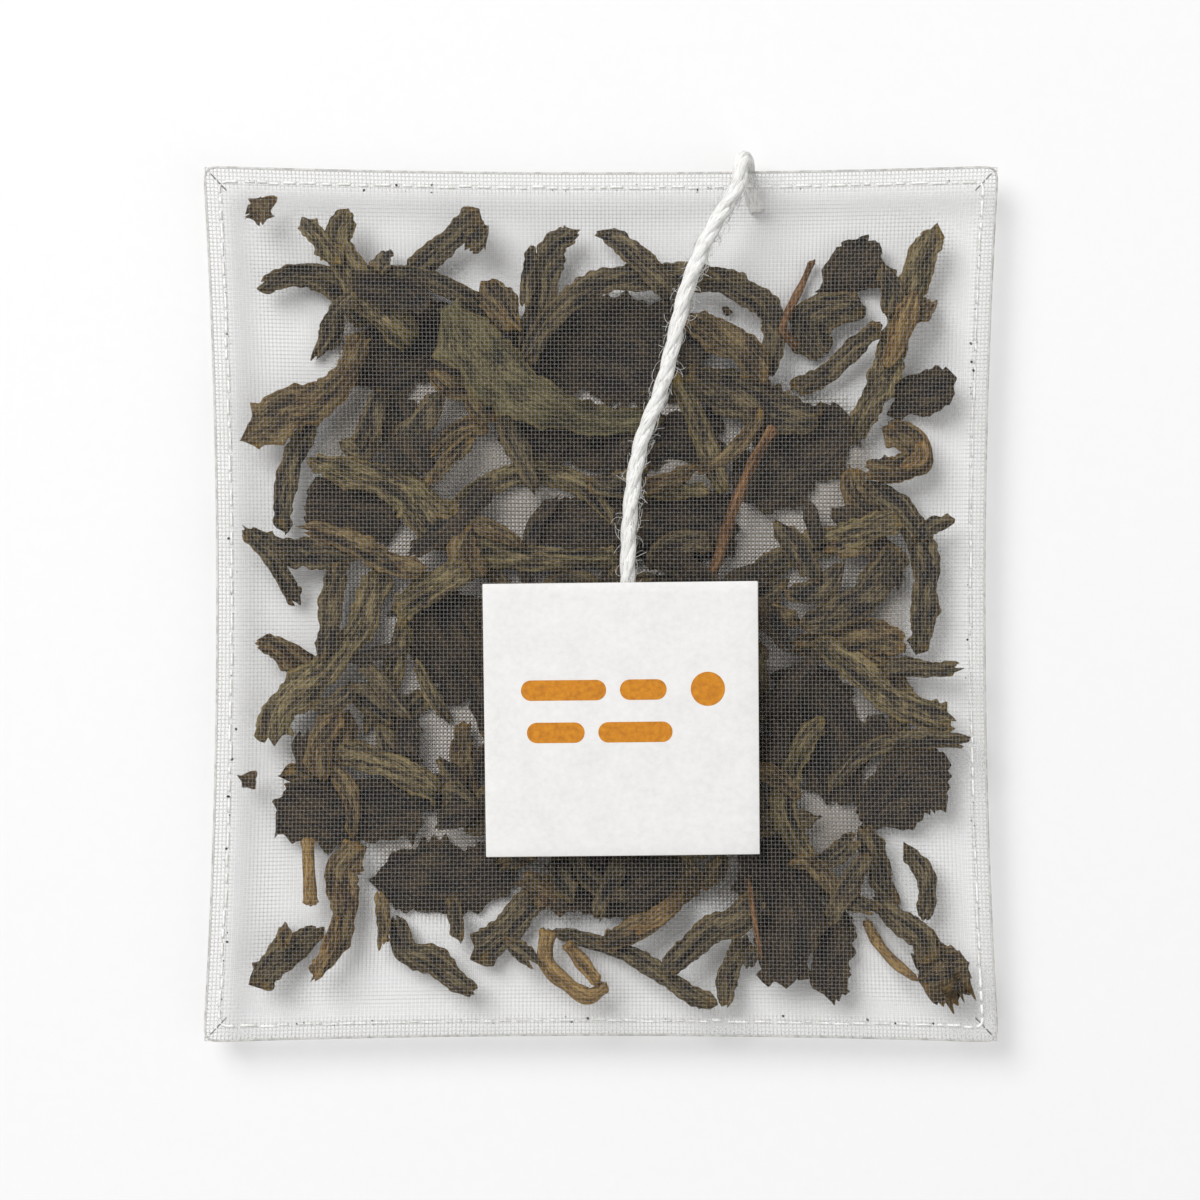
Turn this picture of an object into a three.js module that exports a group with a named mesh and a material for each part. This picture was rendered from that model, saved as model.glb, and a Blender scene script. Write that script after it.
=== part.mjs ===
// Flat mesh tea bag lying on its back: two woven panels welded together along all four sides,
// whole-leaf tea sealed between them, a cotton string taken over the top edge, and a card tag.
// Millimetres, +Z up, +Y towards the top edge of the bag, origin under the middle of the bag.
import * as THREE from "three";

// Bag
const BAG_WIDTH = 59.0;
const BAG_LENGTH = 65.0;
const SIDE_PULL = 1.0;      // how far the long sides bow inwards at mid length
const END_PULL = 0.5;       // the same for the top and bottom edges
const CORNER_CUT = 0.25;    // what the rounded corners take off the outline, each way
const SEAL_WIDTH = 1.0;     // from the cut edge to the weld line
const CLOTH = 0.2;          // panel thickness, with the slack of the weave
const SEAL_LEVEL = 2.7;     // height of the weld between the two panels
const DOME_RISE = 3.1;      // crown of the front panel above the weld
const DOME_REACH = 3.2;     // how quickly the front panel rises inside the weld
const CROWN = 0.14;         // part of the rise that goes on growing to the middle
const BELLY_REACH = 8.0;    // from the weld to where the back panel rests flat
const BELLY_BEND = 1.8;     // how roundly it gets there
const PANEL_STEPS_X = 20;
const PANEL_STEPS_Y = 22;

// Tea
const LEAF_SIDES = 6;
const LEAF_STATIONS = 9;
const LAYER_GAP = 0.08;     // air between one leaf and the next
const CELL = 0.5;           // grid on which the height of the pile is kept
const FOOTPRINT_STEPS = 8;  // looks taken each way over a leaf's footprint
const RAISING_PASSES = 2;   // a dry leaf is stiff, so it bridges small hollows

// String and tag
const STRING_DIAMETER = 1.2;
const STRING_SIDES = 8;
const STRING_STEPS = 20;
const TOUCH_GAP = 0.3;      // between pieces that lie on each other
const FLOOR_GAP = 0.05;     // under the string where it passes beneath the weld
const LOOP_RADIUS = 2.4;    // of the half circle in which the string turns round the top edge
const LOOP_POINTS = 6;
const LOOP_X = [11.3, 10];  // where the half circle begins below the edge and ends above it
const TAIL_X = 11.7;
const TAIL_LENGTH = 1.3;    // straight stretch behind the half circle
const LYING_ROUTE = [[8.2, 27.6], [7, 25], [6.1, 22.5], [5.5, 20], [4.9, 17.5], [4.15, 15],
  [3.15, 12.5], [2.55, 10], [2.2, 7.5], [2.02, 5], [1.95, 3.2], [1.95, 2.2]];
const TAG_SIZE = 20.0;
const TAG_THICKNESS = 0.4;
const TAG_CENTRE = [1.5, -8.4];
const TAG_TURN = THREE.MathUtils.degToRad(0.7);
const TAG_LIFT = 1.6;       // the string's end holds the top edge of the tag up

const FINISHES = {
  mesh: { color: "#e6e4e0", roughness: 0.45 },
  cotton: { color: "#f6f5f2", roughness: 0.9 },
  card: { color: "#f4f4f2", roughness: 0.75 },
  broad_leaf: { color: "#2f2a21", roughness: 0.8 },
  dark_leaf: { color: "#3a3428", roughness: 0.8 },
  olive_leaf: { color: "#5d563a", roughness: 0.8 },
  brown_leaf: { color: "#5a4426", roughness: 0.8 },
  green_leaf: { color: "#5c5d3c", roughness: 0.85 },
  gold_stem: { color: "#a98243", roughness: 0.7 },
  orange_stem: { color: "#8a5a30", roughness: 0.7 },
  crumb: { color: "#4a3b27", roughness: 0.85 },
};

// Each piece of tea: name, thickness, widths along it, and its route seen from above.
// They are listed from the bottom of the pile to the top.
const TEA = [
  ["broad_leaf_01", 0.5, [3, 7, 7.4, 4.4], [[-6.5, 19.2], [-2, 19], [3, 18.8], [8, 17.6]]],
  ["broad_leaf_02", 0.5, [2.4, 6.2, 5.4, 3], [[-19, 17.4], [-15.5, 18.6], [-11.5, 20], [-7.5, 20.6]]],
  ["broad_leaf_03", 0.5, [2, 3.6, 4, 3.2], [[-7.5, 12.4], [-2.5, 12.3], [3, 12.4], [9, 12.6]]],
  ["broad_leaf_04", 0.5, [3, 4.6, 4], [[-22, 7.4], [-19.2, 7.2], [-15.2, 6.4]]],
  ["broad_leaf_05", 0.5, [2.4, 5, 5.6, 4], [[-5, 6], [0, 6.2], [5, 6], [10.5, 5.8]]],
  ["broad_leaf_06", 0.5, [4, 5.8, 5.2, 3], [[10.5, 8], [13.8, 10.4], [16.6, 12.4], [18.6, 14]]],
  ["broad_leaf_07", 0.5, [4, 6, 5, 3.4], [[-13.6, 1.2], [-12, -1.8], [-10.4, -4.6], [-9.4, -7.4]]],
  ["broad_leaf_08", 0.5, [3, 5.4, 4.8, 3.2], [[-16.6, -20.4], [-13.2, -20.6], [-9.8, -20.4], [-6.8, -19]]],
  ["broad_leaf_09", 0.5, [1.6, 2.8, 2.6, 2.2], [[17.4, -29.5], [17, -27.6], [17.3, -25.4], [18, -22.8]]],
  ["broad_leaf_10", 0.5, [3.4, 5, 5.2, 4, 3],
    [[12.4, -17.4], [13, -20.4], [14, -23.2], [13.6, -26], [13.4, -28.2]]],
  ["broad_leaf_11", 0.5, [3.4, 5.8, 6.2, 5.2, 3],
    [[15.4, -4.6], [15.6, -7.4], [16.8, -10], [17.4, -12.8], [17.2, -14.8]]],
  ["broad_leaf_12", 0.5, [3.6, 5, 4.6, 4], [[-24.2, -14.6], [-22, -15.2], [-18, -15.4], [-13.4, -15.6]]],
  ["broad_leaf_13", 0.5, [2.4, 4.6, 5.2, 3.6], [[19.2, -16], [21.8, -14.4], [24, -13.2], [25.9, -13]]],
  ["broad_leaf_14", 0.5, [1.8, 3.4, 3.6, 2.4], [[20.4, 27.2], [19.4, 25.6], [18.2, 24.2], [17.9, 22.6]]],
  ["broad_leaf_15", 0.5, [2.4, 3.2, 2.8], [[21.4, 14.8], [23.4, 15.6], [26, 16]]],
  ["broad_leaf_16", 0.5, [3, 4.8, 2.8], [[23.7, -28.3], [25.2, -27.4], [26.6, -26.4]]],
  ["crumb_01", 0.5, [1.6, 2, 1.2], [[-26, 29.8], [-25.4, 29.3], [-25.2, 28.3]]],
  ["dark_leaf_01", 0.7, [1.1, 1.9, 2.2, 1.8],
    [[-25.3, 23.5], [-23.2, 24.4], [-20.8, 24.3], [-18.6, 22.6], [-17, 20.8]]],
  ["dark_leaf_02", 0.8, [1.3, 1.5, 1.5, 1.3],
    [[-20.9, 15.2], [-22, 13], [-23, 10.6], [-23.6, 8], [-23.8, 5.6]]],
  ["dark_leaf_03", 0.7, [1.3, 2, 2], [[-26.1, 5.6], [-24.4, 4.2], [-21.6, 3.8], [-18.6, 3.2]]],
  ["dark_leaf_04", 0.7, [2, 2.2, 2.2, 1.3], [[-25.6, -28.1], [-24.4, -26.8], [-22.6, -25.4], [-21, -24.3]]],
  ["dark_leaf_05", 0.8, [1.1, 1.8, 2.1, 2, 1.1],
    [[-15.3, -23.6], [-14.6, -25.6], [-12.6, -26.6], [-10.8, -27.8], [-9.6, -28.8]]],
  ["dark_leaf_06", 0.8, [1.8, 2.2, 2.3], [[-3.6, -20.4], [-5.6, -22.6], [-7.4, -24.6], [-9.1, -26.2]]],
  ["dark_leaf_07", 0.8, [0.9, 1.2, 1.3, 1.2],
    [[-3.2, -24.4], [-0.6, -25.2], [2, -26], [4.6, -27.6], [6.5, -28.8], [8.1, -29.7]]],
  ["dark_leaf_08", 0.8, [1.5, 2, 2.1, 2.2],
    [[4.8, -27.2], [6.4, -25.6], [8.4, -24.2], [10.2, -23.2], [12, -21.8]]],
  ["dark_leaf_09", 0.8, [1.1, 1.4, 1.3, 1.1], [[22.8, -18.2], [24, -20], [24.3, -22], [24, -23.3]]],
  ["dark_leaf_10", 0.8, [1.3, 1.7, 1.8, 1.4], [[20.4, -22], [22, -23.4], [23.6, -24.8], [24.3, -26.2]]],
  ["dark_leaf_11", 0.8, [1.8, 2, 1.9, 1.5],
    [[20.2, 8.8], [21.8, 7.4], [23.4, 5.2], [24.2, 2.6], [24, -0.4], [23.8, -3.6]]],
  ["dark_leaf_12", 0.7, [1.8, 2.6, 2.9, 2.2],
    [[19.4, 22], [17.2, 22], [15.6, 21.2], [15.8, 19.6], [16.6, 18.4]]],
  ["dark_leaf_13", 0.8, [1.7, 1.9, 2], [[-9.3, 28.9], [-11, 27.2], [-13, 25.6], [-14.6, 24]]],
  ["dark_leaf_14", 0.7, [1.1, 1.3, 1.4, 1.1],
    [[-17.8, 24.4], [-14.5, 24.6], [-12, 23.8], [-9.8, 22.6], [-8.2, 21.6], [-6.3, 20]]],
  ["dark_leaf_15", 0.8, [1.4, 2.1, 2.1, 1.8],
    [[-1.6, 27.7], [-3.2, 26.9], [-4.1, 25], [-4.3, 22.6], [-5, 20.6], [-5.6, 18.9]]],
  ["dark_leaf_16", 0.8, [1.3, 1.8, 1.9, 2, 1.4],
    [[-5.6, 18.2], [-4, 20.6], [-1.8, 23], [0.8, 24], [4, 24.3], [7.4, 24.2],
      [10.4, 23.4], [12.6, 21.8], [13.1, 19.8], [12.4, 17.5]]],
  ["dark_leaf_17", 0.8, [2, 3.2, 3.4, 2], [[6.2, 17], [8.4, 16.2], [11, 15.2], [13.6, 14.2], [16.4, 13.4]]],
  ["brown_leaf_01", 0.7, [1.8, 3.3, 3.1, 2.2, 1.8, 1.5],
    [[-26.3, 12.5], [-25, 13.2], [-23, 14.7], [-21, 15.2], [-19.4, 16.6], [-18.3, 18.4], [-17.8, 20.2]]],
  ["brown_leaf_02", 0.7, [1.3, 1.9, 2], [[-25.8, -3], [-24.2, -3.2], [-22.4, -4.4], [-21, -5.6]]],
  ["brown_leaf_03", 0.6, [1.5, 2.4, 2.4, 1.8], [[14.4, -3.4], [17.4, -3], [20.4, -2.5], [22.6, -3]]],
  ["brown_leaf_04", 0.6, [1.8, 2.2, 2, 1.5],
    [[21.4, 13], [23, 12.2], [23.4, 10.9], [22, 10], [19.6, 10.2]]],
  ["brown_leaf_05", 0.8, [1.5, 2.4, 2.4, 2],
    [[6.3, 21.4], [7.8, 20.6], [9.8, 19.3], [11.2, 18], [12, 16.9]]],
  ["brown_leaf_06", 0.6, [2, 2.6, 2], [[-8.5, 24.1], [-7.6, 22.4], [-6.4, 20.4]]],
  ["brown_leaf_07", 0.6, [1.5, 1.8, 1.4],
    [[-0.2, -25.2], [1.8, -24.5], [3.8, -23.4], [5.6, -21.9], [7.4, -20.4]]],
  ["brown_leaf_08", 0.7, [2.2, 2.4, 1.9, 1.2, 1.1],
    [[-18, -18.2], [-19.4, -19.8], [-19.1, -22], [-19.2, -24], [-20, -26], [-21.3, -27.7]]],
  ["olive_leaf_01", 0.8, [2, 2.1, 2.2, 2.6, 2.2],
    [[-16.6, 2.6], [-17.2, 0], [-18.6, -2.6], [-20.6, -5], [-22.8, -6.8], [-24.3, -8.4], [-24.5, -10.2]]],
  ["olive_leaf_02", 0.8, [1.3, 2, 2.1, 1.5], [[-20.2, -10.8], [-17, -11.6], [-14.2, -12.8], [-12, -14.2]]],
  ["olive_leaf_03", 0.8, [1, 1.8, 2, 1.8, 1.1],
    [[16.8, -8.6], [15.2, -10.2], [14, -12.4], [13.6, -14.8], [14.2, -17], [15.6, -19]]],
  ["olive_leaf_04", 0.7, [1.3, 2.1, 2.2, 1.8],
    [[16, -2.6], [18.4, -4.4], [20.4, -6.2], [22.8, -7.6], [26, -8.7]]],
  ["olive_leaf_05", 0.7, [1.5, 2.1, 2.1, 1.5],
    [[11.4, 2.2], [13.6, 3.4], [16.6, 4.6], [19.6, 5.5], [22.2, 6.3]]],
  ["olive_leaf_06", 0.8, [1.1, 1.5, 1.7, 1.3],
    [[5.6, 16.8], [6.8, 14.4], [7.8, 12], [8.4, 10.2], [9.2, 8.4]]],
  ["green_leaf_01", 0.5, [1.5, 4.2, 4.6, 3.3, 2.4, 1.9, 1.1],
    [[-11.4, 22], [-10, 19.6], [-8, 17.4], [-5.6, 15.4], [-2.6, 14.2], [1.2, 13.5], [4.4, 13.9]]],
  ["olive_leaf_07", 0.8, [1.8, 2.2, 2.4, 2.2],
    [[-18.7, 29.2], [-19.5, 27.4], [-19, 25.4], [-17.8, 23.4], [-16, 21.4], [-14, 19.6]]],
  ["olive_leaf_08", 0.8, [1.4, 2.4, 3.5, 2.4, 1.5, 1.3],
    [[-21.6, 10.6], [-19.2, 9.7], [-16.2, 9.4], [-14, 8], [-12.4, 6.2], [-10.4, 4.6],
      [-7.4, 3.6], [-3, 3.4], [1.4, 3.4]]],
  ["olive_leaf_09", 0.8, [1.9, 2.2, 2.1], [[-15.4, -0.6], [-13.6, 0.6], [-11.6, 1.8], [-9.8, 2.8]]],
  ["olive_leaf_10", 0.8, [1.7, 2, 2, 2.2, 2.2, 1.8, 1.3],
    [[24.8, 27.9], [24.1, 26.2], [23.3, 24], [22.5, 22], [21.9, 19.8],
      [21, 17], [19.9, 14.6], [18.9, 12.6]]],
  ["gold_stem_01", 0.7, [0.9, 1, 1.2], [[-21.8, -17.4], [-21.7, -19.6], [-21.5, -22.4]]],
  ["gold_stem_02", 0.8, [1.2, 1.3, 1.3, 1.1],
    [[-3.9, -24.2], [-4.1, -26.6], [-2.7, -28], [-0.9, -29.1], [0.3, -28.4]]],
  ["orange_stem_01", 0.7, [0.7, 0.8, 0.9],
    [[12.8, 13.1], [11.6, 11.2], [10.4, 8.6], [9.4, 5.8], [8.6, 3], [7.8, 1.2]]],
];

const part = new THREE.Group();

function addNode(name, geometry, finish) {
  const material = new THREE.MeshStandardMaterial({ ...FINISHES[finish], metalness: 0 });
  const mesh = new THREE.Mesh(geometry, material);
  mesh.name = name;
  part.add(mesh);
  return mesh;
}

// Half sizes of the bag at a place along it; u and v run from -1 to 1 across and along the bag.
function halfWidth(v) {
  return BAG_WIDTH / 2 - SIDE_PULL * (1 - v * v);
}

function halfLength(u) {
  return BAG_LENGTH / 2 - END_PULL * (1 - u * u);
}

// How far a point lies inside the weld line, from the sides and from the ends.
function insetFromWeld(u, v) {
  return {
    side: Math.max(0, halfWidth(v) * (1 - Math.abs(u)) - SEAL_WIDTH),
    end: Math.max(0, halfLength(u) * (1 - Math.abs(v)) - SEAL_WIDTH),
  };
}

// Inner face of the front panel, from its cut edge up over the dome.
function frontLevel(u, v) {
  const { side, end } = insetFromWeld(u, v);
  const shoulder = (1 - Math.exp(-side / DOME_REACH)) * (1 - Math.exp(-end / DOME_REACH));
  const crown = 1 - CROWN + CROWN * Math.cos(u * Math.PI / 2) * Math.cos(v * Math.PI / 2);
  return SEAL_LEVEL + DOME_RISE * shoulder * crown;
}

// Inner face of the back panel, from its cut edge down to the flat that it rests on.
function backLevel(u, v) {
  const { side, end } = insetFromWeld(u, v);
  const drop = (inset) => 1 - Math.max(0, 1 - inset / BELLY_REACH) ** BELLY_BEND;
  return SEAL_LEVEL - (SEAL_LEVEL - CLOTH) * drop(side) * drop(end);
}

// Moves an even step, from -1 to 1, outwards, so that steps lie closer together near a panel's
// edges and the first one inside the edge is the weld line.
function crowdOutwards(step, steps, half) {
  const power = Math.log(half / SEAL_WIDTH) / Math.log(steps / 2);
  return Math.sign(step) * (1 - (1 - Math.abs(step)) ** power);
}

// A panel is a thin slab whose two faces follow one surface.
function panelGeometry(level, outward) {
  const slab = new THREE.BoxGeometry(2, 2, 2, PANEL_STEPS_X, PANEL_STEPS_Y, 1);
  const place = slab.getAttribute("position");
  for (let i = 0; i < place.count; i += 1) {
    const u = crowdOutwards(place.getX(i), PANEL_STEPS_X, BAG_WIDTH / 2);
    const v = crowdOutwards(place.getY(i), PANEL_STEPS_Y, BAG_LENGTH / 2);
    const corner = Math.abs(u) === 1 && Math.abs(v) === 1 ? CORNER_CUT : 0;
    const outside = place.getZ(i) * outward > 0;
    const x = u * halfWidth(v) - Math.sign(u) * corner;
    const y = v * halfLength(u) - Math.sign(v) * corner;
    place.setXYZ(i, x, y, level(u, v) + (outside ? outward * CLOTH : 0));
  }
  return slab;
}

// The (u, v) place of a point seen from above, found by a few rounds of correction.
function bagPlace(x, y) {
  let u = x / (BAG_WIDTH / 2);
  let v = y / (BAG_LENGTH / 2);
  for (let round = 0; round < 4; round += 1) {
    u = x / halfWidth(v);
    v = y / halfLength(u);
  }
  return [THREE.MathUtils.clamp(u, -1, 1), THREE.MathUtils.clamp(v, -1, 1)];
}

function frontTop(x, y) {
  return frontLevel(...bagPlace(x, y)) + CLOTH;
}

// Height of the pile of tea so far, kept on a grid; under it lies the back panel.
const pile = new Map();

function cellKey(x, y) {
  return `${Math.round(x / CELL)},${Math.round(y / CELL)}`;
}

function pileLevel(x, y) {
  return Math.max(backLevel(...bagPlace(x, y)), pile.get(cellKey(x, y)) ?? 0);
}

function raisePile(x, y, level) {
  const key = cellKey(x, y);
  pile.set(key, Math.max(level, pile.get(key) ?? 0));
}

// Width at part t of the way along a leaf, from a short list of widths.
function widthAt(widths, t) {
  const place = t * (widths.length - 1);
  const before = Math.min(Math.floor(place), widths.length - 2);
  return THREE.MathUtils.lerp(widths[before], widths[before + 1], place - before);
}

// Stations along a leaf: its two tips, and rings that start close behind them.
function leafStations(curve, widths) {
  const length = curve.getLength();
  const tip = Math.min(0.12, 0.25 * widths[0] / length);
  const stations = [0];
  for (let k = 0; k <= LEAF_STATIONS - 2; k += 1) {
    stations.push(THREE.MathUtils.lerp(tip, 1 - tip, k / (LEAF_STATIONS - 2)));
  }
  stations.push(1);
  return stations;
}

// Calls visit(x, y) all over the footprint of a leaf between two places along it.
function overFootprint(curve, widths, from, to, visit) {
  const margin = CELL / 2;
  for (let i = 0; i <= FOOTPRINT_STEPS; i += 1) {
    const t = THREE.MathUtils.lerp(from, to, i / FOOTPRINT_STEPS);
    const middle = curve.getPointAt(t);
    const ahead = curve.getTangentAt(t);
    const half = widthAt(widths, t) / 2 + margin;
    for (let j = 0; j <= FOOTPRINT_STEPS; j += 1) {
      const off = THREE.MathUtils.lerp(-half, half, j / FOOTPRINT_STEPS);
      visit(middle.x - ahead.y * off, middle.y + ahead.x * off);
    }
  }
}

// Lays a leaf on the pile and gives the height of its middle at each station.
function layOnPile(curve, widths, thickness, stations) {
  const last = stations.length - 1;
  const heights = stations.map((_, k) => {
    const from = stations[Math.max(0, k - 1)];
    const to = stations[Math.min(last, k + 1)];
    let under = 0;
    overFootprint(curve, widths, from, to, (x, y) => {
      under = Math.max(under, pileLevel(x, y));
    });
    return under + LAYER_GAP + thickness / 2;
  });
  for (let pass = 0; pass < RAISING_PASSES; pass += 1) {
    for (let k = 1; k < last; k += 1) {
      heights[k] = Math.max(heights[k], (heights[k - 1] + heights[k + 1]) / 2);
    }
  }
  for (let k = 0; k < last; k += 1) {
    const level = Math.max(heights[k], heights[k + 1]) + thickness / 2;
    overFootprint(curve, widths, stations[k], stations[k + 1], (x, y) => raisePile(x, y, level));
  }
  return heights;
}

// A leaf is a ball drawn out along its route, with a flattened section and blunt ends.
function leafGeometry(thickness, widths, route) {
  const curve = new THREE.CatmullRomCurve3(route.map(([x, y]) => new THREE.Vector3(x, y, 0)));
  const stations = leafStations(curve, widths);
  const heights = layOnPile(curve, widths, thickness, stations);
  const last = stations.length - 1;
  const ball = new THREE.SphereGeometry(1, LEAF_SIDES, last);
  const place = ball.getAttribute("position");
  for (let i = 0; i < place.count; i += 1) {
    const k = Math.floor(i / (LEAF_SIDES + 1));
    const angle = (i % (LEAF_SIDES + 1)) / LEAF_SIDES * Math.PI * 2;
    const isTip = k === 0 || k === last;
    const middle = curve.getPointAt(stations[k]);
    const ahead = curve.getTangentAt(stations[k]);
    const off = isTip ? 0 : -Math.cos(angle) * widthAt(widths, stations[k]) / 2;
    const up = isTip ? 0 : Math.sin(angle) / Math.sin(Math.PI / 3) * thickness / 2;
    place.setXYZ(i, middle.x - ahead.y * off, middle.y + ahead.x * off, heights[k] + up);
  }
  return ball;
}

// The string starts under the top weld, turns round the top edge in a half circle, and lies
// on the dome down to the tag's top edge.
function stringGeometry() {
  const radius = STRING_DIAMETER / 2;
  const edge = halfLength((LOOP_X[0] + LOOP_X[1]) / BAG_WIDTH);
  const turnY = edge + TOUCH_GAP + radius - LOOP_RADIUS;
  const turnZ = FLOOR_GAP + radius + LOOP_RADIUS;
  const points = [[TAIL_X, turnY - TAIL_LENGTH, turnZ - LOOP_RADIUS]];
  for (let k = 0; k <= LOOP_POINTS; k += 1) {
    const angle = Math.PI * k / LOOP_POINTS;
    const x = THREE.MathUtils.lerp(...LOOP_X, k / LOOP_POINTS);
    points.push([x, turnY + LOOP_RADIUS * Math.sin(angle), turnZ - LOOP_RADIUS * Math.cos(angle)]);
  }
  for (const [x, y] of LYING_ROUTE) {
    points.push([x, y, frontTop(x, y) + TOUCH_GAP + radius]);
  }
  const route = new THREE.CatmullRomCurve3(points.map((p) => new THREE.Vector3(...p)));
  const section = new THREE.Shape();
  section.absarc(0, 0, radius, 0, Math.PI * 2);
  return new THREE.ExtrudeGeometry(section, {
    steps: STRING_STEPS,
    curveSegments: STRING_SIDES,
    extrudePath: route,
  });
}

// The tag lies on the dome with its top edge held up by the string's end.
function placeTag(tag) {
  const [x, y] = TAG_CENTRE;
  const half = TAG_SIZE / 2;
  const upper = frontTop(x, y + half) + TAG_LIFT;
  const lower = frontTop(x, y - half) + TOUCH_GAP;
  tag.rotation.set(Math.atan2(upper - lower, TAG_SIZE), 0, TAG_TURN, "ZXY");
  tag.position.set(x, y, (upper + lower) / 2 + TAG_THICKNESS / 2);
}

addNode("back_panel", panelGeometry(backLevel, -1), "mesh");
addNode("front_panel", panelGeometry(frontLevel, 1), "mesh");
for (const [name, thickness, widths, route] of TEA) {
  addNode(name, leafGeometry(thickness, widths, route), name.replace(/_\d+$/, ""));
}
addNode("string", stringGeometry(), "cotton");
placeTag(addNode("tag", new THREE.BoxGeometry(TAG_SIZE, TAG_SIZE, TAG_THICKNESS), "card"));

export default part;
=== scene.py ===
import math
import random

import bmesh
import bpy
from mathutils import Matrix, Vector, noise
from mathutils.bvhtree import BVHTree


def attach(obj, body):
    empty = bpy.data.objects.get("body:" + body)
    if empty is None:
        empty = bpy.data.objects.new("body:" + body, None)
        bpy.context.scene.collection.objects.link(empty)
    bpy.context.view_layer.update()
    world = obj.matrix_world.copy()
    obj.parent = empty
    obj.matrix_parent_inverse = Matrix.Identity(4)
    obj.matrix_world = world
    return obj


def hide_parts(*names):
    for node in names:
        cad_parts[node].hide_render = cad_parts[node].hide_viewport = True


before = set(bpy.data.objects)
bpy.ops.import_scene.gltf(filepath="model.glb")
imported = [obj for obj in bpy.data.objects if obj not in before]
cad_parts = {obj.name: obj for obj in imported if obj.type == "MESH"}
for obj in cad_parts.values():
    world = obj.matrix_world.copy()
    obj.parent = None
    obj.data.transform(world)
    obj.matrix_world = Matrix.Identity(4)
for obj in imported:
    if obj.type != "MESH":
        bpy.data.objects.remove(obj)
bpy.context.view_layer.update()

# ---------------------------------------------------------------------------------------------
# Camera. It looks straight down on the bag as it lies, from far enough off to flatten the view.
# ---------------------------------------------------------------------------------------------
MM = 0.001
SEEN_WIDTH = 88.9 * MM
SEEN_LEVEL = 3 * MM
SENSOR_WIDTH = 36
LENS = 100

camera_data = bpy.data.cameras.new("camera")
camera_data.lens = LENS
camera_data.sensor_width = SENSOR_WIDTH
camera_data.clip_start = 0.01
camera = bpy.data.objects.new("camera", camera_data)
camera.location = (-0.07 * MM, 0.3 * MM, SEEN_LEVEL + SEEN_WIDTH * LENS / SENSOR_WIDTH)
bpy.context.scene.collection.objects.link(camera)
bpy.context.scene.camera = camera

# ---------------------------------------------------------------------------------------------
# String. Bleached cotton yarn, three plies twisted together, with loose fibres standing off it.
# Its back end is caught under the top weld; it turns round the top edge and lies on the front.
# ---------------------------------------------------------------------------------------------
PLY_COUNT = 3
PLY_RADIUS = 0.39
PLY_ORBIT = 0.21
TWIST_LENGTH = 6.6
STRING_SETTLE = 0.25          # the CAD solid lies this far off the front; the real string touches it
STRING_ROUTE = [
    (11.70, 29.27, 0.65), (11.30, 30.57, 0.65), (11.08, 31.77, 0.97), (10.87, 32.64, 1.85),
    (10.65, 32.97, 3.05), (10.43, 32.64, 4.25), (10.22, 31.77, 5.13), (10.00, 30.57, 5.45),
    (8.20, 27.60, 5.61), (7.00, 25.00, 6.17), (6.10, 22.50, 6.45), (5.50, 20.00, 6.60),
    (4.90, 17.50, 6.69), (4.15, 15.00, 6.76), (3.15, 12.50, 6.80), (2.55, 10.00, 6.84),
    (2.20, 7.50, 6.86), (2.02, 5.00, 6.88), (1.95, 2.20, 6.89),
]
STRING_HIDDEN_END = [(1.95, 0.2, 6.83), (1.96, -1.8, 6.78)]
HAIR_COUNT = 420


def smooth_route(points, step):
    """Points about step apart on a Catmull-Rom curve through the given ones."""
    ends = [2 * points[0] - points[1]] + points + [2 * points[-1] - points[-2]]
    made = []
    for before, start, end, after in zip(ends, ends[1:], ends[2:], ends[3:]):
        count = max(1, round((end - start).length / step))
        for k in range(count):
            t = k / count
            made.append(0.5 * (
                2 * start + (end - before) * t
                + (2 * before - 5 * start + 4 * end - after) * t ** 2
                + (3 * start - before - 3 * end + after) * t ** 3))
    return made + [points[-1]]


def route_frames(points):
    """For each point, the way ahead and two directions across that don't twist along the route."""
    frames = []
    side = None
    for k, point in enumerate(points):
        ahead = (points[min(k + 1, len(points) - 1)] - points[max(k - 1, 0)]).normalized()
        side = ahead.cross(Vector((0, 0, 1))) if side is None else side - side.dot(ahead) * ahead
        side.normalize()
        frames.append((point, ahead, side, side.cross(ahead)))
    return frames


def tubes(name, routes, radius, roundness, swell=None):
    """One mesh of closed round tubes along routes; its UV map holds (along, round), 0 to 1."""
    curve = bpy.data.curves.new(name, "CURVE")
    curve.dimensions = "3D"
    curve.bevel_depth = radius * MM
    curve.bevel_resolution = roundness
    curve.use_fill_caps = True
    for route in routes:
        spline = curve.splines.new("POLY")
        spline.points.add(len(route) - 1)
        for place, point in zip(spline.points, route):
            place.co = (*(point * MM), 1)
            place.radius = swell(point) if swell else 1
    holder = bpy.data.objects.new(name, curve)
    bpy.context.scene.collection.objects.link(holder)
    mesh = bpy.data.meshes.new_from_object(holder)
    bpy.data.objects.remove(holder)
    bm = bmesh.new()
    bm.from_mesh(mesh)
    bmesh.ops.remove_doubles(bm, verts=bm.verts, dist=1e-7)
    bm.to_mesh(mesh)
    bm.free()
    mesh.shade_smooth()
    mesh.name = name
    return mesh


def add_piece(name, mesh, slot, material, *replaced):
    """Puts a finished mesh in the scene as a piece of the bag."""
    piece = bpy.data.objects.new(name, mesh)
    bpy.context.scene.collection.objects.link(piece)
    mesh.materials.clear()
    mesh.materials.append(material)
    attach(piece, "root")
    if replaced:
        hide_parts(*replaced)
    return piece


def linear(hex_colour):
    """An sRGB hex colour as a linear RGBA one."""
    parts = [int(hex_colour[i:i + 2], 16) / 255 for i in (1, 3, 5)]
    return (*[p / 12.92 if p <= 0.04045 else ((p + 0.055) / 1.055) ** 2.4 for p in parts], 1)


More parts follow.
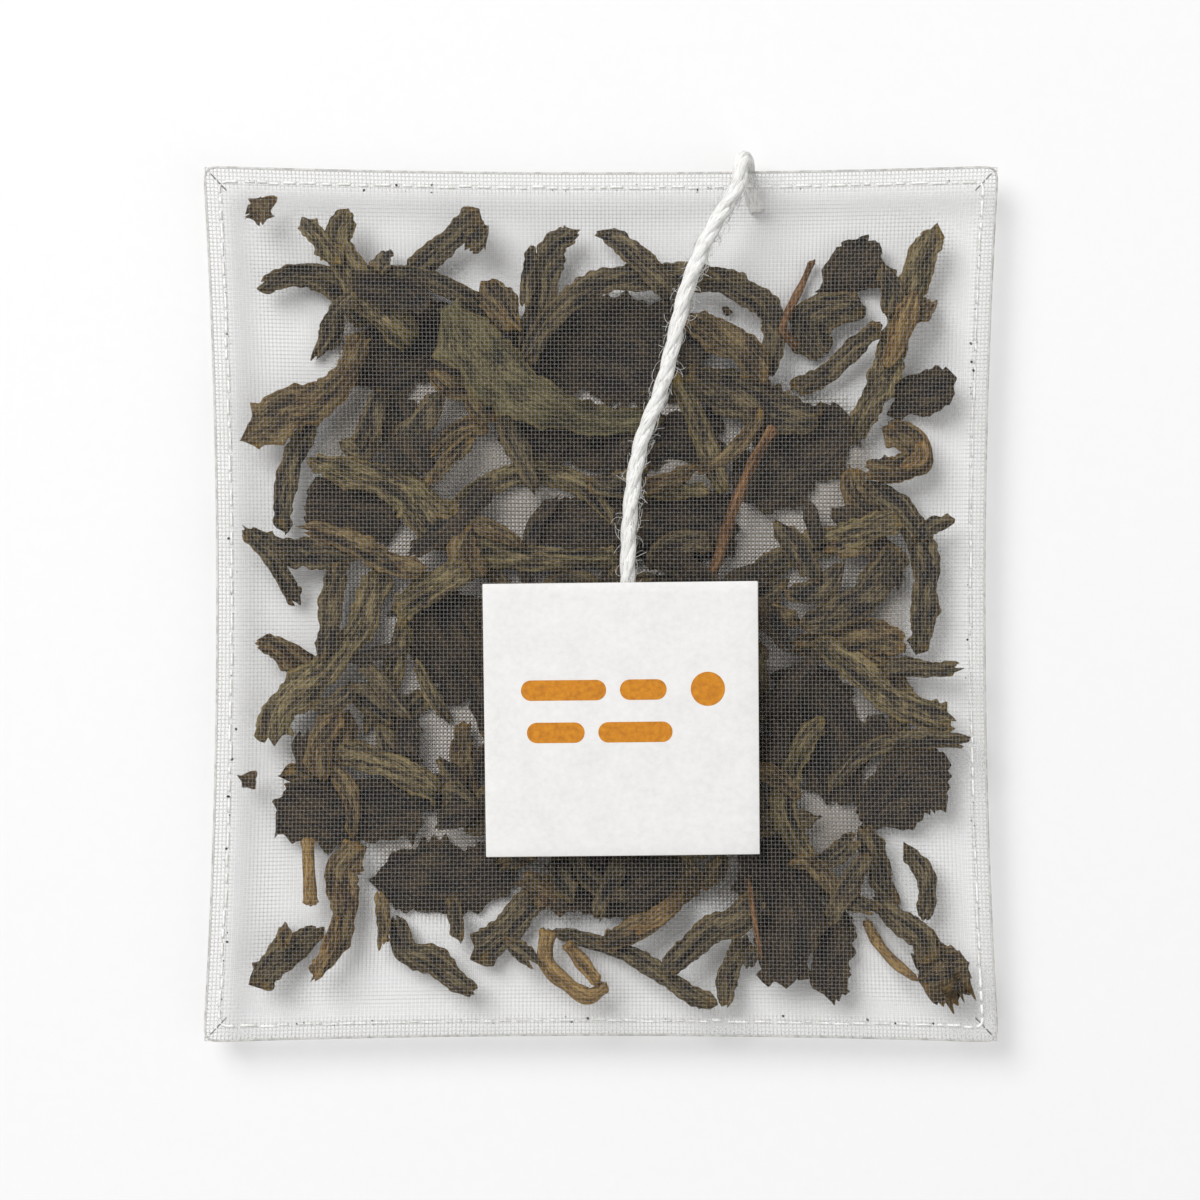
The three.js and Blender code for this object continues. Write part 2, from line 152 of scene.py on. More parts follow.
def add_node(material, kind, settings=(), **links):
    """Adds a shader node; settings are (socket or attribute, value) pairs, links name sockets."""
    node = material.node_tree.nodes.new(kind)
    for key, value in settings:
        if isinstance(key, int) or key in node.inputs:
            node.inputs[key].default_value = value
        else:
            setattr(node, key, value)
    for socket, source in links.items():
        target = int(socket[1:]) if socket[0] == "_" else socket.replace("_", " ")
        material.node_tree.links.new(source, node.inputs[target])
    return node


def colour_stops(ramp, stops):
    """Sets a colour ramp from (place, hex colour) pairs."""
    elements = ramp.color_ramp.elements
    while len(elements) < len(stops):
        elements.new(0.5)
    for element, (place, hex_colour) in zip(elements, stops):
        element.position = place
        element.color = linear(hex_colour)


def new_material(name):
    """An empty node material with its Principled shader, ready for its patterns."""
    material = bpy.data.materials.new(name)
    material.use_nodes = True
    return material, material.node_tree.nodes["Principled BSDF"]


def join_nodes(material, source, target):
    material.node_tree.links.new(source, target)


# Twisted bleached cotton: matte and nearly white, with painted shade that greys the grooves between fibres.
FIBRE_PITCH = 0.09            # mm between the fibres seen across a ply

cotton, shader = new_material("cotton_yarn_twisted")
shader.inputs["Roughness"].default_value = 0.92
shader.inputs["Specular IOR Level"].default_value = 0.2
place = add_node(cotton, "ShaderNodeUVMap")
stretch = add_node(cotton, "ShaderNodeMapping", [("Scale", (26, 2 * math.pi * PLY_RADIUS / FIBRE_PITCH / 3, 1))],
                   Vector=place.outputs["UV"])
fibres = add_node(cotton, "ShaderNodeTexNoise", [("Scale", 2.0), ("Detail", 5.0), ("Roughness", 0.65)],
                  Vector=stretch.outputs["Vector"])
tint = add_node(cotton, "ShaderNodeValToRGB", Fac=fibres.outputs["Fac"])
# Painted shade: greyer where the fibre noise, which also drives the bump, is low.
colour_stops(tint, [(0.36, "#c6c4c0"), (0.47, "#ecebe8"), (0.6, "#fafaf8")])
raised = add_node(cotton, "ShaderNodeBump", [("Strength", 0.9), ("Distance", 0.1 * MM)],
                  Height=fibres.outputs["Fac"])
join_nodes(cotton, tint.outputs["Color"], shader.inputs["Base Color"])
join_nodes(cotton, raised.outputs["Normal"], shader.inputs["Normal"])

laid = [Vector(p) for p in STRING_ROUTE]
front_part = laid.index(Vector(STRING_ROUTE[8]))
for k, point in enumerate(laid):
    point.z -= STRING_SETTLE * min(1, max(0, k - front_part + 2) / 3)
laid += [Vector(p) for p in STRING_HIDDEN_END]
string_line = smooth_route(laid, 0.2)
string_frames = route_frames(string_line)


def ply_route(number):
    """The middle line of one ply, winding round the string."""
    route = []
    travelled = 0
    for k, (point, _, side, up) in enumerate(string_frames):
        travelled += (point - string_line[max(k - 1, 0)]).length
        angle = 2 * math.pi * (number / PLY_COUNT - travelled / TWIST_LENGTH)
        route.append(point + PLY_ORBIT * (math.cos(angle) * side + math.sin(angle) * up))
    return route


def hair_route(draw):
    """A loose cotton fibre that leaves the string, curls, and often comes back to it."""
    point, ahead, side, up = string_frames[draw.randrange(40, len(string_frames) - 8)]
    angle = draw.uniform(-0.3, 1.1) * math.pi
    out = math.cos(angle) * side + math.sin(angle) * up
    heading = (out + draw.uniform(-0.9, 0.9) * ahead).normalized()
    curl = draw.uniform(-0.9, 0.9)
    spot = point + 0.5 * out
    route = [spot]
    for _ in range(draw.randrange(4, 10)):
        heading = (heading + curl * 0.5 * ahead - 0.12 * out).normalized()
        spot = spot + heading * draw.uniform(0.08, 0.18)
        route.append(spot.copy())
    return route


string_mesh = tubes("string", [ply_route(n) for n in range(PLY_COUNT)], PLY_RADIUS, 3)
string = add_piece("string_plies", string_mesh, "cotton", cotton, "string")
hairs = random.Random("cotton hairs")
hair_mesh = tubes("string_hairs", [hair_route(hairs) for _ in range(HAIR_COUNT)], 0.019, 0)
string_hairs = add_piece("string_hairs", hair_mesh, "cotton", cotton)

# ---------------------------------------------------------------------------------------------
# Tag. One die-cut square of smooth white card, with the string's end bonded to its back.
# ---------------------------------------------------------------------------------------------
TAG_BOW = 0.12                # mm that the middle of the card stands up
TAG_EDGE_RADIUS = 0.07

card, shader = new_material("white_card_die_cut")
shader.inputs["Roughness"].default_value = 0.7
shader.inputs["Specular IOR Level"].default_value = 0.3
place = add_node(card, "ShaderNodeTexCoord")
pulp = add_node(card, "ShaderNodeTexNoise", [("Scale", 2200.0), ("Detail", 6.0), ("Roughness", 0.6)],
                Vector=place.outputs["Object"])
cloud = add_node(card, "ShaderNodeTexNoise", [("Scale", 420.0), ("Detail", 3.0)],
                 Vector=place.outputs["Object"])
both = add_node(card, "ShaderNodeMix", [("Factor", 0.4)],
                A=pulp.outputs["Fac"], B=cloud.outputs["Fac"])
tint = add_node(card, "ShaderNodeValToRGB", Fac=both.outputs["Result"])
colour_stops(tint, [(0.3, "#e4e3e1"), (0.5, "#ecebe9"), (0.72, "#f3f2f1")])
raised = add_node(card, "ShaderNodeBump", [("Strength", 0.35), ("Distance", 0.02 * MM)],
                  Height=both.outputs["Result"])
join_nodes(card, tint.outputs["Color"], shader.inputs["Base Color"])
join_nodes(card, raised.outputs["Normal"], shader.inputs["Normal"])

bm = bmesh.new()
bm.from_mesh(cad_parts["tag"].data)
bmesh.ops.remove_doubles(bm, verts=bm.verts, dist=1e-7)
corners = sorted((v.co.copy() for v in bm.verts), key=lambda p: p.y)
tag_middle = sum(corners, Vector()) / len(corners)
upper = sorted(corners[4:], key=lambda p: p.x)
tag_across = (upper[-1] - upper[0])
tag_across = Vector((tag_across.x, tag_across.y, 0)).normalized()
tag_normal = max((f.normal for f in bm.faces), key=lambda n: n.z).copy()
tag_along = tag_normal.cross(tag_across).normalized()
tag_axes = Matrix((tag_across, tag_along, tag_normal)).transposed().to_4x4()
tag_place = Matrix.Translation(tag_middle) @ tag_axes
tag_size = min((a - corners[0]).length for a in corners[1:] if (a - corners[0]).length > 5 * MM)
tag_thickness = min((a - corners[0]).length for a in corners[1:])
bm.free()


def bowed(point):
    """The height that the card's gentle bow adds at a point given in the tag's own axes."""
    half = tag_size / 2
    return TAG_BOW * MM * (1 - (point.x / half) ** 2) * (1 - 0.5 * (point.y / half) ** 2)


bm = bmesh.new()
bmesh.ops.create_grid(bm, x_segments=24, y_segments=24, size=tag_size / 2)
bmesh.ops.solidify(bm, geom=bm.faces[:], thickness=tag_thickness)
bmesh.ops.translate(bm, verts=bm.verts, vec=(0, 0, -sum(v.co.z for v in bm.verts) / len(bm.verts)))
rim = [e for e in bm.edges if len(e.link_faces) == 2 and e.calc_face_angle() > 1]
bmesh.ops.bevel(bm, geom=rim, affect="EDGES", offset=TAG_EDGE_RADIUS * MM, segments=2, profile=0.5,
                material=-1)
for vert in bm.verts:
    vert.co.z += bowed(vert.co)
bmesh.ops.recalc_face_normals(bm, faces=bm.faces)
bmesh.ops.transform(bm, matrix=tag_place, verts=bm.verts)
tag_mesh = bpy.data.meshes.new("tag_card")
bm.to_mesh(tag_mesh)
bm.free()
tag_mesh.shade_smooth()
tag_card = add_piece("tag_card", tag_mesh, "card", card, "tag")

# The print: plain rounded bars and a disc in ochre ink, which stand for no word and no emblem.
INK_THICKNESS = 0.02
BAR_HEIGHT = 1.5
BARS = [(-4.2, 2.2, 6.2), (1.6, 2.2, 3.4), (-4.8, -0.9, 4.2), (1.0, -0.9, 5.4)]
DISC = (6.3, 2.2, 1.25)

ink, shader = new_material("ochre_ink_offset")
shader.inputs["Roughness"].default_value = 0.55
place = add_node(ink, "ShaderNodeTexCoord")
speckle = add_node(ink, "ShaderNodeTexNoise", [("Scale", 2600.0), ("Detail", 4.0)],
                   Vector=place.outputs["Object"])
tint = add_node(ink, "ShaderNodeValToRGB", Fac=speckle.outputs["Fac"])
colour_stops(tint, [(0.3, "#b87206"), (0.5, "#cd8107"), (0.7, "#d98e14")])
join_nodes(ink, tint.outputs["Color"], shader.inputs["Base Color"])

bm = bmesh.new()
for x, y, length in BARS:
    size = Matrix.Diagonal((length * MM, BAR_HEIGHT * MM, INK_THICKNESS * MM, 1))
    made = bmesh.ops.create_cube(bm, size=1, matrix=Matrix.Translation((x * MM, y * MM, 0)) @ size)
    upright = {e for v in made["verts"] for e in v.link_edges if abs((e.verts[0].co - e.verts[1].co).z) > 0.5 * INK_THICKNESS * MM}
    bmesh.ops.bevel(bm, geom=list(upright), affect="EDGES", offset=0.49 * BAR_HEIGHT * MM, segments=8,
                    profile=0.5, material=-1)
bmesh.ops.create_cone(bm, cap_ends=True, segments=40, radius1=DISC[2] * MM, radius2=DISC[2] * MM,
                      depth=INK_THICKNESS * MM, matrix=Matrix.Translation((DISC[0] * MM, DISC[1] * MM, 0)))
bmesh.ops.triangulate(bm, faces=bm.faces)
for vert in bm.verts:
    vert.co.z += tag_thickness / 2 + bowed(vert.co)
bmesh.ops.transform(bm, matrix=tag_place, verts=bm.verts)
print_mesh = bpy.data.meshes.new("tag_print")
bm.to_mesh(print_mesh)
bm.free()
tag_print = add_piece("tag_print", print_mesh, "card", ink)

# ---------------------------------------------------------------------------------------------
# Tea. Whole leaves, withered, rolled and dried, so that each is a wrinkled, twisted strip with
# torn, lobed ends; with them lie torn flat pieces, woody stems and crumbs, laid one on another.
# ---------------------------------------------------------------------------------------------
WRINKLE_PITCH = 0.14          # mm across the fine wrinkles that run along a dried leaf
VEIN_PITCH = 0.55
PATCH_SIZE = 2.6              # mm across the patches where a leaf dried browner or greener


def dried_leaf(name, shaded_groove, body, crest, patch, rim):
    """Dried leaf: dull, painted darker in its creases (painted shade) and paler on its crests (painted highlight),
    with dry ochre torn edges.
    """
    material, shader = new_material(name)
    shader.inputs["Roughness"].default_value = 0.74
    shader.inputs["Specular IOR Level"].default_value = 0.3
    place = add_node(material, "ShaderNodeUVMap")
    along = add_node(material, "ShaderNodeMapping",
                     [("Scale", (1 / WRINKLE_PITCH, 0.15 / WRINKLE_PITCH, 1))],
                     Vector=place.outputs["UV"])
    wrinkles = add_node(material, "ShaderNodeTexNoise",
                        [("Scale", 1.0), ("Detail", 4.0), ("Roughness", 0.72), ("Distortion", 2.2)],
                        Vector=along.outputs["Vector"])
    vein_place = add_node(material, "ShaderNodeMapping",
                          [("Scale", (1 / VEIN_PITCH, 0.22 / VEIN_PITCH, 1))],
                          Vector=place.outputs["UV"])
    veins = add_node(material, "ShaderNodeTexNoise",
                     [("Scale", 1.0), ("Detail", 4.0), ("Distortion", 1.4)],
                     Vector=vein_place.outputs["Vector"])
    relief = add_node(material, "ShaderNodeAttribute", [("attribute_name", "crest")])
    fine = add_node(material, "ShaderNodeMath", [("operation", "MULTIPLY_ADD"), (1, 0.5)],
                    _0=veins.outputs["Fac"], _2=wrinkles.outputs["Fac"])
    height = add_node(material, "ShaderNodeMath", [("operation", "MULTIPLY_ADD"), (1, 0.11)],
                      _0=relief.outputs["Fac"], _2=fine.outputs["Value"])
    tint = add_node(material, "ShaderNodeValToRGB", Fac=height.outputs["Value"])
    # Painted shade in the creases and folds and a painted highlight on the crests, following the relief and the
    # bump's own wrinkles.
    colour_stops(tint, [(0.59, shaded_groove), (0.71, body), (0.88, crest)])
    spot = add_node(material, "ShaderNodeTexCoord")
    patches = add_node(material, "ShaderNodeTexNoise",
                       [("Scale", 1 / (PATCH_SIZE * MM)), ("Detail", 3.0)],
                       Vector=spot.outputs["Object"])
    share = add_node(material, "ShaderNodeMapRange",
                     [("From Min", 0.5), ("From Max", 0.62), ("To Max", 0.85)],
                     Value=patches.outputs["Fac"])
    patch_tint = add_node(material, "ShaderNodeValToRGB", Fac=height.outputs["Value"])
    colour_stops(patch_tint, [(0.59, shaded_groove), (0.73, patch), (0.9, crest)])
    patched = add_node(material, "ShaderNodeMix", [("data_type", "RGBA")],
                       _0=share.outputs["Result"], _6=tint.outputs["Color"],
                       _7=patch_tint.outputs["Color"])
    edge = add_node(material, "ShaderNodeAttribute", [("attribute_name", "rim")])
    edge_share = add_node(material, "ShaderNodeMath", [("operation", "MULTIPLY")],
                          _0=edge.outputs["Fac"], _1=fine.outputs["Value"])
    rim_colour = add_node(material, "ShaderNodeMix", [("data_type", "RGBA"), (7, linear(rim))],
                          _0=edge_share.outputs["Value"], _6=patched.outputs[2])
    raised = add_node(material, "ShaderNodeBump", [("Strength", 0.9), ("Distance", 0.12 * MM)],
                      Height=fine.outputs["Value"])
    join_nodes(material, rim_colour.outputs[2], shader.inputs["Base Color"])
    join_nodes(material, raised.outputs["Normal"], shader.inputs["Normal"])
    return material


# Kind of leaf: its slot, then its material's groove (painted shade), body, crest (painted highlight), patch and
# torn-edge colours.
LEAF_LOOKS = {
    "broad_leaf": ("dark tea leaf", dried_leaf(
        "tea_leaf_flat_dark", "#080503", "#1a130b", "#4a3c28", "#261c0f", "#4a3a1e")),
    "dark_leaf": ("dark tea leaf", dried_leaf(
        "tea_leaf_rolled_dark", "#0d0905", "#30271a", "#746545", "#40331b", "#6e5626")),
    "olive_leaf": ("olive tea leaf", dried_leaf(
        "tea_leaf_rolled_olive", "#171109", "#493c24", "#8d7d56", "#524826", "#80682c")),
    "brown_leaf": ("brown tea leaf", dried_leaf(
        "tea_leaf_rolled_brown", "#160f07", "#43341c", "#83704a", "#573f1f", "#806127")),
    "golden_leaf": ("brown tea leaf", dried_leaf(
        "tea_leaf_rolled_golden", "#2e2110", "#654e2d", "#9a8152", "#75562b", "#8a622a")),
    "green_leaf": ("olive tea leaf", dried_leaf(
        "tea_leaf_flat_green", "#1b170d", "#443b20", "#716847", "#4b4524", "#6b5a2c")),
    "gold_stem": ("tea stem", dried_leaf(
        "tea_stem_golden", "#403018", "#7b5f35", "#ab8c54", "#684e26", "#94702f")),
    "orange_stem": ("tea stem", dried_leaf(
        "tea_stem_russet", "#331f0d", "#644222", "#8f6a42", "#4f3217", "#7c5229")),
    "crumb": ("brown tea leaf", dried_leaf(
        "tea_crumb", "#130e08", "#382c1c", "#6a5839", "#4a3a20", "#7e5f30")),
}


def leaf_line(node):
    """The middle, half width and half thickness of a CAD leaf at each ring of its solid."""
    bm = bmesh.new()
    bm.from_mesh(node.data)
    bmesh.ops.remove_doubles(bm, verts=bm.verts, dist=1e-7)
    for tip in bm.verts:
        rings = [{tip}]
        seen = {tip}
        while len(seen) < len(bm.verts):
            rings.append({e.other_vert(v) for v in rings[-1] for e in v.link_edges} - seen)
            seen |= rings[-1]
        if {len(r) for r in rings[1:-1]} == {6} and len(rings[-1]) == 1:
            break
    line = []
    for ring in rings:
        points = [v.co / MM for v in ring]
        middle = sum(points, Vector()) / len(points)
        wide = max(Vector((p.x - middle.x, p.y - middle.y, 0)).length for p in points)
        line.append((middle, wide, max(abs(p.z - middle.z) for p in points)))
    bm.free()
    line[0] = (line[0][0], *line[1][1:])
    line[-1] = (line[-1][0], *line[-2][1:])
    return line


def along_line(line, t):
    """The smoothed middle, half width and half depth at part t of the way along a leaf's line."""
    place = t * (len(line) - 1)
    k = min(int(place), len(line) - 2)
    f = place - k
    near = [line[max(0, min(len(line) - 1, k + d))] for d in (-1, 0, 1, 2)]
    a, b, c, d = (n[0] for n in near)
    middle = 0.5 * (2 * b + (c - a) * f + (2 * a - 5 * b + 4 * c - d) * f ** 2
                    + (3 * b - a - 3 * c + d) * f ** 3)
    ease = f * f * (3 - 2 * f)
    return middle, *(near[1][n] + (near[2][n] - near[1][n]) * ease for n in (1, 2))


def even_line(line, step):
    """The same line with its stations a fixed step apart, as (middle, width, depth, travelled)."""
    fine = [along_line(line, k / 120) for k in range(121)]
    travelled = [0]
    for before, after in zip(fine, fine[1:]):
        travelled.append(travelled[-1] + (after[0] - before[0]).length)
    count = max(8, round(travelled[-1] / step))
    made = []
    k = 0
    for n in range(count + 1):
        want = travelled[-1] * n / count
        while k < 119 and travelled[k + 1] < want:
            k += 1
        f = min(1, max(0, (want - travelled[k]) / max(travelled[k + 1] - travelled[k], 1e-9)))
        (a, wide, deep), (b, wide_next, deep_next) = fine[k], fine[k + 1]
        made.append((a.lerp(b, f), wide + (wide_next - wide) * f,
                     deep + (deep_next - deep) * f, want))
    return made


def noise_at(x, y, z):
    return noise.noise(Vector((x, y, z)))


def pointed(x, y, z):
    """Noise that rises to sharp points, from about -0.5 to 0.5, for torn edges and ridges."""
    return 0.5 - 2.2 * abs(noise.noise(Vector((x, y, z))))


def lobed(x, y, z):
    """Noise with rounded swellings and sharp notches, from about -0.4 to 0.7, for torn ends."""
    return 2.4 * math.hypot(noise.noise(Vector((x, y, z))), 0.06) - 0.45


def ragged(s, q, end, seed):
    """How far the torn outline stands out or in, on the side that q is on, as a share of width."""
    side = math.copysign(1, q)
    lobes = 0.32 * noise_at(s * 0.5, side * 3, seed) + 0.17 * lobed(s * 1.1, side * 7, seed)
    teeth = 0.1 * noise_at(s * 1.8, side * 9, seed)
    return abs(q) ** 2 * (lobes + teeth + 0.45 * end * lobed(s * 0.9, side * 11, seed + 4))


def rolled_section(angle, s, end, half_width, half_depth, seed):
    """A rolled leaf in section: a crumpled flattened oval with folds that wind along it."""
    q = math.cos(angle)
    winding = 0.5 * math.sin(s * 0.3 + seed)
    fold = math.exp(-((q - winding) / 0.13) ** 2)
    second = math.exp(-((q + 0.55 * winding + 0.45) / 0.12) ** 2)
    lumps = noise_at(1.2 * q, math.sin(angle), s * 0.4 + seed * 7)
    ridges = pointed(q * half_width * 1.5, s * 0.3 + seed, seed * 5)
    fine = pointed(q * half_width * 3.2 + 5, s * 0.6, seed * 3)
    across = q * half_width * (1.06 + 0.12 * lumps + ragged(s, q, end, seed))
    level = half_depth * (0.9 + 0.5 * lumps - 0.5 * fold - 0.3 * second) * (1 - 0.45 * end)
    up = math.sin(angle) * level + (0.13 * ridges + 0.07 * fine) * (1 if angle < math.pi else -1)
    # How high the surface stands; the material paints shade into the folds and a highlight onto the ridges from
    # it.
    crest = 0.8 * ridges + 0.7 * fine - 0.9 * fold - 0.6 * second + 0.5 * lumps
    return across, up, crest


def flat_section(angle, s, end, half_width, half_depth, seed):
    """A torn flat leaf in section: a thin sheet that ripples, with its edges curled up."""
    q = math.cos(angle)
    ripple = noise_at(q * 1.2, s * 0.3, seed)
    ridges = pointed(q * half_width * 0.8, s * 0.28, seed * 3)
    fine = pointed(q * half_width * 2.2, s * 0.5, seed * 5)
    across = q * half_width * (1.05 + ragged(s, q, end, seed))
    curl = 0.5 * half_depth * (q * q - 0.4) * math.sin(seed + 0.2 * s)
    up = math.sin(angle) * 0.12 + half_depth * ripple + 0.22 * ridges + 0.07 * fine + curl
    return across, up, 0.9 * ridges + 0.7 * fine


def crumb_section(angle, s, end, half_width, half_depth, seed):
    """A small torn bit in section: like a flat leaf, with lobes and notches all round it."""
    return flat_section(angle, 2.2 * s, 1.3, half_width * (1 - 0.3 * end), half_depth, seed)


def stem_section(angle, s, end, half_width, half_depth, seed):
    """A woody stem in section: nearly round, ribbed along its length, flared at its broken ends."""
    ribs = noise_at(2.6 * math.cos(angle), 2.6 * math.sin(angle), s * 0.2 + seed)
    fine = noise_at(6 * math.cos(angle), 6 * math.sin(angle), s * 0.4 - seed)
    bend = noise_at(s * 0.7, seed, 2)
    swell = (1 + 0.25 * end) * (1 + 0.2 * ribs + 0.1 * fine + 0.25 * bend)
    return math.cos(angle) * half_width * swell, math.sin(angle) * half_depth * swell, ribs + fine


def grow_leaf(line, section, sides, step, seed, torn):
    """A cylinder drawn out along a leaf's line, each ring shaped by the section given."""
    stations = even_line(line, step)
    last = len(stations) - 1
    length = stations[-1][3]
    bm = bmesh.new()
    bmesh.ops.create_cone(bm, cap_ends=True, segments=sides, radius1=1, radius2=1, depth=1)
    lengthways = [e for e in bm.edges if abs(e.verts[0].co.z - e.verts[1].co.z) > 0.5]
    bmesh.ops.subdivide_edges(bm, edges=lengthways, cuts=last - 1)
    crest = bm.verts.layers.float.new("crest")
    rim = bm.verts.layers.float.new("rim")
    uv = bm.loops.layers.uv.new("UVMap")
    girth = 2 * math.pi * max(0.3, sum(s[1] for s in stations) / len(stations))
    where = {v: (v.co.z + 0.5, math.atan2(v.co.y, v.co.x) % (2 * math.pi)) for v in bm.verts}
    for face in bm.faces:
        rounds = [where[loop.vert][1] for loop in face.loops]
        wraps = max(rounds) - min(rounds) > math.pi
        for loop in face.loops:
            t, angle = where[loop.vert]
            turned = angle + 2 * math.pi if wraps and angle < math.pi else angle
            loop[uv].uv = (turned / (2 * math.pi) * girth + seed, t * length + seed)
    for vert, (t, angle) in where.items():
        k = min(last, round(t * last))
        middle, half_width, half_depth, s = stations[k]
        ahead = (stations[min(last, k + 1)][0] - stations[max(0, k - 1)][0]).normalized()
        side = Vector((-ahead.y, ahead.x, 0)).normalized()
        up = side.cross(ahead) * (1 if side.cross(ahead).z > 0 else -1)
        end = 1 - min(1, min(s, length - s) / torn)
        across, rise, relief = section(angle, s, end, half_width, half_depth, seed)
        outwards = 1 if t > 0.5 else -1
        q = math.cos(angle)
        bite = 0.75 * noise_at(q * 1.9, outwards * 5, seed * 11) - 0.2 * q * q
        slip = outwards * torn * end * bite
        taper = 1 - 0.35 * (max(0, end - 0.8) / 0.2) ** 2
        vert.co = (middle + side * across * taper + up * rise * taper + ahead * slip) * MM
        vert[crest] = relief
        vert[rim] = min(1, max(0, abs(q) - 0.84) / 0.16 * 0.85 + max(0, end - 0.75) / 0.3)
    bmesh.ops.triangulate(bm, faces=[f for f in bm.faces if len(f.verts) > 4])
    bmesh.ops.recalc_face_normals(bm, faces=bm.faces)
    return bm


# Kind of leaf: its section, faces round it, step along it and length of its torn ends, in mm.
SECTIONS = {
    "broad_leaf": (flat_section, 40, 0.24, 1.3),
    "green_leaf": (flat_section, 40, 0.24, 1.1),
    "dark_leaf": (rolled_section, 30, 0.19, 1.7),
    "olive_leaf": (rolled_section, 30, 0.19, 1.7),
    "brown_leaf": (rolled_section, 30, 0.19, 1.7),
    "golden_leaf": (rolled_section, 24, 0.19, 1.2),
    "gold_stem": (stem_section, 16, 0.2, 0.5),
    "orange_stem": (stem_section, 16, 0.25, 0.5),
    "crumb": (crumb_section, 32, 0.09, 0.6),
}


def add_leaves(name, kind, lines, *replaced, coarser=1):
    """Adds one piece that holds a leaf for each line given."""
    section, sides, step, torn = SECTIONS[kind]
    slot, material = LEAF_LOOKS[kind]
    mesh = bpy.data.meshes.new(name)
    together = bmesh.new()
    for number, line in enumerate(lines):
        seed = random.Random(f"{name} {number}").uniform(1, 9)
        leaf = grow_leaf(line, section, sides // coarser, step * coarser, seed, torn)
        leaf.to_mesh(mesh)
        leaf.free()
        together.from_mesh(mesh)
    together.to_mesh(mesh)
    together.free()
    mesh.shade_smooth()
    return add_piece(name, mesh, slot, material, *replaced)


# The bag's outline and its two faces: u and v run from -1 to 1 across and along it.
BAG_WIDTH = 59.0
BAG_LENGTH = 65.0
SIDE_PULL = 1.0
END_PULL = 0.5


def half_width(v):
    return BAG_WIDTH / 2 - SIDE_PULL * (1 - v * v)


def half_length(u):
    return BAG_LENGTH / 2 - END_PULL * (1 - u * u)


def face_tree(node_name):
    bm = bmesh.new()
    bm.from_mesh(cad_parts[node_name].data)
    tree = BVHTree.FromBMesh(bm)
    bm.free()
    return tree


panel_trees = {name: face_tree(name) for name in ("front_panel", "back_panel")}


def panel_level(name, x, y, from_above):
    """Height in mm of a panel's upper or lower face over a point, moved in from the very edge."""
    down = -1 if from_above else 1
    start = 20 * MM * -down
    for k in range(40):
        inner = 1 - 0.004 * k
        hit = panel_trees[name].ray_cast(Vector((x * inner * MM, y * inner * MM, start)),
                                         Vector((0, 0, down)))[0]
        if hit is not None:
            return hit.z / MM
    return 2.7


# How high the tea lies so far, on a grid of square cells.
CELL = 0.4
pile = {}


def cells_under(line):
    """The grid cells that a leaf's line covers, with the leaf's top at each."""
    covered = {}
    for middle, wide, deep, _ in even_line(line, CELL / 2):
        reach = int(wide / CELL)
        for i in range(-reach, reach + 1):
            for j in range(-reach, reach + 1):
                if math.hypot(i, j) * CELL <= wide:
                    key = (round(middle.x / CELL) + i, round(middle.y / CELL) + j)
                    covered[key] = max(covered.get(key, 0), middle.z + deep)
    return covered


def raise_pile(line):
    for key, top in cells_under(line).items():
        pile[key] = max(pile.get(key, 0), top)


def lay_leaf(route, widths, thickness, lift=None):
    """A leaf's line along a route seen from above, on the pile or at a lift over the back panel."""
    flat = [Vector((x, y, 0)) for x, y in route]
    flat = smooth_route(flat, 1.0)
    heights = []
    sized = []
    for k, point in enumerate(flat):
        place = k / (len(flat) - 1) * (len(widths) - 1)
        n = min(int(place), len(widths) - 2)
        wide = widths[n] + (widths[n + 1] - widths[n]) * (place - n)
        under = panel_level("back_panel", point.x, point.y, True)
        if lift is None:
            spot = [(point, wide / 2, 0), (point + Vector((0.3, 0, 0)), wide / 2, 0)]
            under = max([under] + [pile.get(key, 0) for key in cells_under(spot)])
            lying = under + thickness / 2 + 0.05
        else:
            lying = under + lift
        roof = panel_level("front_panel", point.x, point.y, False) - thickness / 2 - 0.15
        heights.append(min(lying, roof))
        sized.append(wide)
    for _ in range(2):
        for k in range(1, len(heights) - 1):
            heights[k] = max(heights[k], (heights[k - 1] + heights[k + 1]) / 2)
    return [(Vector((p.x, p.y, z)), wide / 2, thickness / 2)
            for p, z, wide in zip(flat, heights, sized)]


for node_name, node in sorted(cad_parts.items()):
    kind = node_name.rsplit("_", 1)[0]
    if kind in SECTIONS:
        line = leaf_line(node)
        raise_pile(line)
        add_leaves("tea_" + node_name, kind, [line], node_name)

